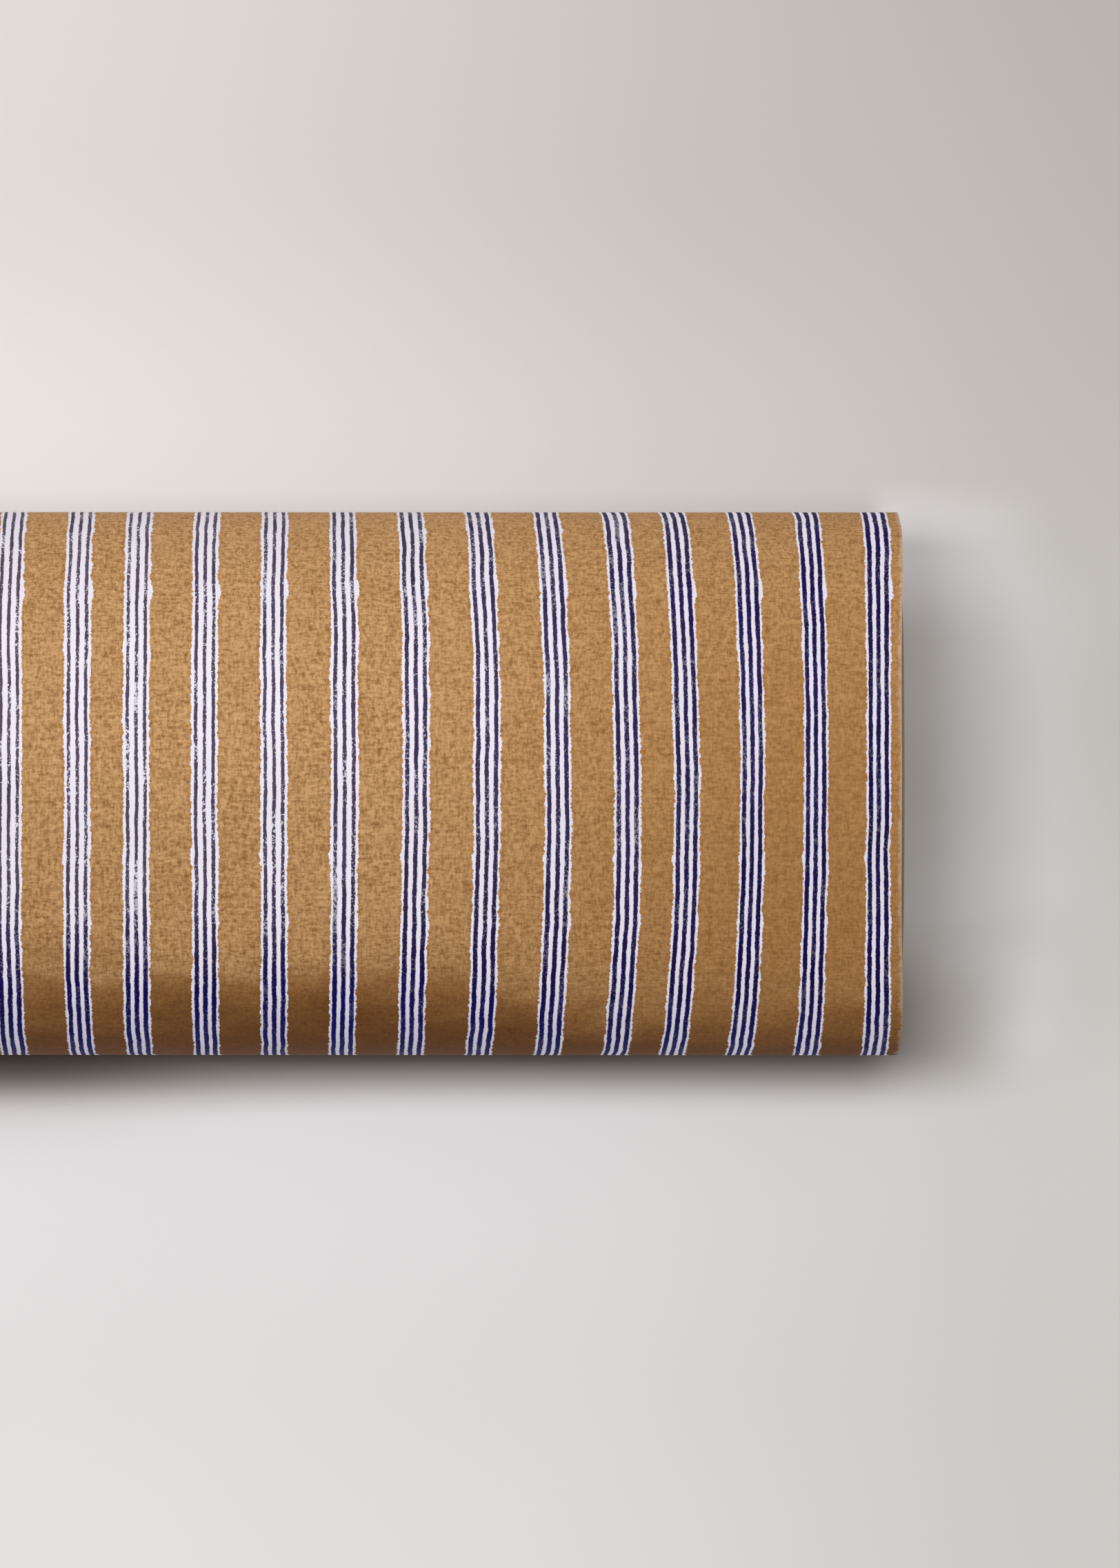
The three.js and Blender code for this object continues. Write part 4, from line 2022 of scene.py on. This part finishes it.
@dataclass(frozen=True)
class TableTop(Finish):
    """Smooth pale table top with painted light and shade: brighter towards the lamp, with a painted
    contact shadow.

    Attributes:
        bright: The table towards the lamp.
        dull: The table away from it.
        cool: The table in front, in the light of the room.
        roughness: Roughness of the top.
        gloss: Strength of its reflections.
        dulling: Where the table gets dull along the roll.
        dull_ends: Where that ends, far off.
        dull_front: How much of it reaches the front.
        dull_back: Where it ends, far to the front and back.
        cooling: Where the table is cool, front to back.
        cool_ends: Where that ends along the roll.
        near: More light close to the roll's two sides.
        near_ends: Where that weakens along the roll.
        beside: More light behind the roll's right end.
        beside_ends: Where that ends along the roll.
        beside_front: Where it starts, front to back.
        beside_back: Where it ends.
        slope: Light from front to back.
        tints: How much faster green and blue fall with the light than red.
    """

    bright: Colour = (0.74, 0.712, 0.692)
    dull: Colour = (0.46, 0.434, 0.407)
    cool: Colour = (0.74, 0.725, 0.74)
    roughness: float = 0.8
    gloss: float = 0.15
    dulling: Fade = Fade(0.25, 0.39)
    dull_ends: Fade = Fade(0.42, 1.1, 1.0, 0.0)
    dull_front: Fade = Fade(-0.035, 0.045, 0.7, 1.0)
    dull_back: Fade = Fade(0.12, 0.8, 1.0, 0.0)
    cooling: Fade = Fade(-0.03, 0.06, 0.5, 0.0)
    cool_ends: Fade = Fade(0.31, 0.365, 1.0, 0.1)
    near: Fade = Fade(0.027, 0.06, 0.13, 0.0)
    near_ends: Fade = Fade(0.335, 0.36, 1.0, 0.4)
    beside: Fade = Fade(0.325, 0.36, 0.0, 0.05)
    beside_ends: Fade = Fade(0.4, 0.6, 1.0, 0.0)
    beside_front: Fade = Fade(0.004, 0.022)
    beside_back: Fade = Fade(0.05, 0.085, 1.0, 0.0)
    slope: Fade = Fade(-0.075, 0.075, 1.12, 0.98)
    tints: tuple[float, float] = (1.08, 1.2)

    def _field(self, build: NodeBuilder, x: Socket, y: Socket) -> Socket:
        """Colour of the table, with the lamp's falloff and the room's light painted in, before its
        painted light.

        Args:
            build: Adds nodes.
            x: Place along the roll.
            y: Place from front to back.

        Returns:
            The colour's socket.
        """
        # Painted falloff of the lamp's light along the roll.
        away = build.product(
            build.ramp(x, *self.dulling),
            build.ramp(x, *self.dull_ends),
            build.ramp(y, *self.dull_front),
            build.ramp(build.math("ABSOLUTE", y), *self.dull_back),
        )
        cool = build.product(build.ramp(y, *self.cooling), build.ramp(x, *self.cool_ends))
        return build.mix(cool, build.mix(away, self.bright, self.dull), self.cool)

    def _level(self, build: NodeBuilder, x: Socket, y: Socket, mottle: Socket) -> Socket:
        """Painted light on the table before the painted contact shadow.

        Args:
            build: Adds nodes.
            x: Place along the roll.
            y: Place from front to back.
            mottle: A trace of unevenness.

        Returns:
            The light's socket.
        """
        off_axis = build.math("ABSOLUTE", y)
        near = build.product(build.ramp(off_axis, *self.near), build.ramp(x, *self.near_ends))
        beside = build.product(
            build.ramp(x, *self.beside),
            build.ramp(x, *self.beside_ends),
            build.ramp(y, *self.beside_front),
            build.ramp(y, *self.beside_back),
        )
        slope = build.ramp(y, *self.slope)
        return build.sum(slope, near, beside, build.product(mottle, 0.02))

    def dress(self, build: NodeBuilder, shader: bpy.types.Node) -> None:
        """Painted light as a soft gradient along the roll, a painted contact shadow and a trace of
        mottle; see Finish.dress.
        """
        where = build.node("ShaderNodeTexCoord").outputs["Object"]
        x, y, _ = build.split(where)
        mottle = build.noise(where, 40.0, 3.0)
        shade = ContactShade().place(build, Vector=where)
        # Painted contact shadow and painted light, multiplied into the table's colour.
        light = build.product(shade["Light"], self._level(build, x, y, mottle))
        green, blue = (build.math("POWER", light, tint) for tint in self.tints)
        colour = build.scaled_colour(self._field(build, x, y), build.vector(light, green, blue))
        rough = build.sum(self.roughness, build.product(mottle, 0.1))
        build.feed(shader.inputs["Base Color"], colour)
        build.feed(shader.inputs["Roughness"], rough)
        build.feed(shader.inputs["Specular IOR Level"], self.gloss)


@dataclass(frozen=True)
class Lamp:
    """One soft rectangular lamp.

    Attributes:
        name: Its name.
        at: Where it hangs.
        aim: What it points at.
        size: Its two sides.
        power: Its power, in watts.
        colour: Its colour.
    """

    name: str
    at: tuple[float, float, float]
    aim: tuple[float, float, float]
    size: tuple[float, float]
    power: float
    colour: Colour = (1.0, 1.0, 1.0)

    def hang(self) -> bpy.types.Object:
        """Makes the lamp.

        Returns:
            The lamp, unseen by the camera.
        """
        data = bpy.data.lights.new(self.name, "AREA")
        data.shape, data.energy, data.color = "RECTANGLE", self.power, self.colour
        data.size, data.size_y = self.size
        made = bpy.data.objects.new(self.name, data)
        made.location = self.at
        towards = Vector(self.aim) - Vector(self.at)
        made.rotation_euler = towards.to_track_quat("-Z", "Y").to_euler()
        made.visible_camera = False
        bpy.context.scene.collection.objects.link(made)
        return made


@dataclass
class Studio:
    """The table, the lamps and the camera.

    Attributes:
        place: The roll's place.
        table_half: Half the side of the table top.
        lens: Focal length, in millimetres.
        camera_x: Where the camera looks along the roll.
        camera_rise: Height of the camera over the roll's axis.
        sky: Brightness of the room.
        sky_colour: Colour of its light.
        lamps: The lamps.
    """

    place: RollPlace
    table_half: float = 16.0
    lens: float = 346.5
    camera_x: float = 0.31875
    camera_rise: float = 1.389
    sky: float = 0.53
    sky_colour: Colour = (1.0, 0.985, 0.97)
    lamps: Sequence[Lamp] = (
        Lamp("key", (0.25, 0.035, 0.56), (0.25, 0.035, 0.0), (0.12, 0.12), 0.92),
        Lamp("row", (0.1, 0.06, 0.9), (0.1, 0.06, 0.0), (0.6, 0.12), 1.7),
        Lamp("back", (0.0, 2.4, 0.6), (0.1, 0.0, 0.02), (3.2, 0.8), 19.5),
    )

    def build(self) -> None:
        """Sets up the table, the lamps, the room's light and the camera."""
        reach = self.table_half
        mesh = bpy.data.meshes.new("table_top")
        corners = [(-reach, -reach, 0), (reach, -reach, 0), (reach, reach, 0), (-reach, reach, 0)]
        mesh.from_pydata(corners, [], [(0, 1, 2, 3)])
        mesh.materials.append(TableTop("table_top").material())
        table = bpy.data.objects.new("table_top", mesh)
        bpy.context.scene.collection.objects.link(table)
        for lamp in self.lamps:
            lamp.hang()
        self._light_room()
        self._set_camera()

    def _light_room(self) -> None:
        """Fills the room with even light."""
        world = bpy.data.worlds.new("room")
        world.use_nodes = True
        background = next(n for n in world.node_tree.nodes if n.type == "BACKGROUND")
        background.inputs[0].default_value = (*self.sky_colour, 1.0)
        background.inputs[1].default_value = self.sky
        bpy.context.scene.world = world

    def _set_camera(self) -> None:
        """Looks straight down on the roll's right end."""
        data = bpy.data.cameras.new("camera")
        data.lens, data.sensor_width, data.sensor_fit = self.lens, 36.0, "AUTO"
        data.clip_start, data.clip_end = 0.05, 100.0
        camera = bpy.data.objects.new("camera", data)
        camera.location = (self.camera_x, 0.0, self.place.axis_height + self.camera_rise)
        bpy.context.scene.collection.objects.link(camera)
        bpy.context.scene.camera = camera
        bpy.context.scene.view_settings.view_transform = "Standard"


# ---------------------------------------------------------------------------------------------


def main() -> None:
    """Builds the roll, piece by piece, then the studio."""
    logging.basicConfig(level=logging.INFO, format="%(name)s: %(message)s")
    place = RollPlace.from_frame(frame)
    tape = ClosingTape(place)
    surface = SheetSurface(place, Sheet(), tape.middles())
    printed = PrintedSide("printed_side", place).material()
    reverse = PlainSide("plain_side").material()
    cut = CutEdge("cut_edge").material()
    board = CoreBoard("core_board_finish", place.axis_height).material()
    film = ClearTape("clear_tape_film").material()
    paper = [printed, reverse, cut]
    groups = {
        "outer turn": OuterTurn(surface).build(paper),
        "wound turns": WoundTurns(surface).build(paper),
        "core": Core(place).build(board),
        "closing tape": tape.build(film),
    }
    for title, pieces in groups.items():
        for piece in pieces:
            LOG.info("%s: %s, %d faces", title, piece.name, len(piece.data.polygons))
    Studio(place).build()


if __name__ == "__main__":
    main()
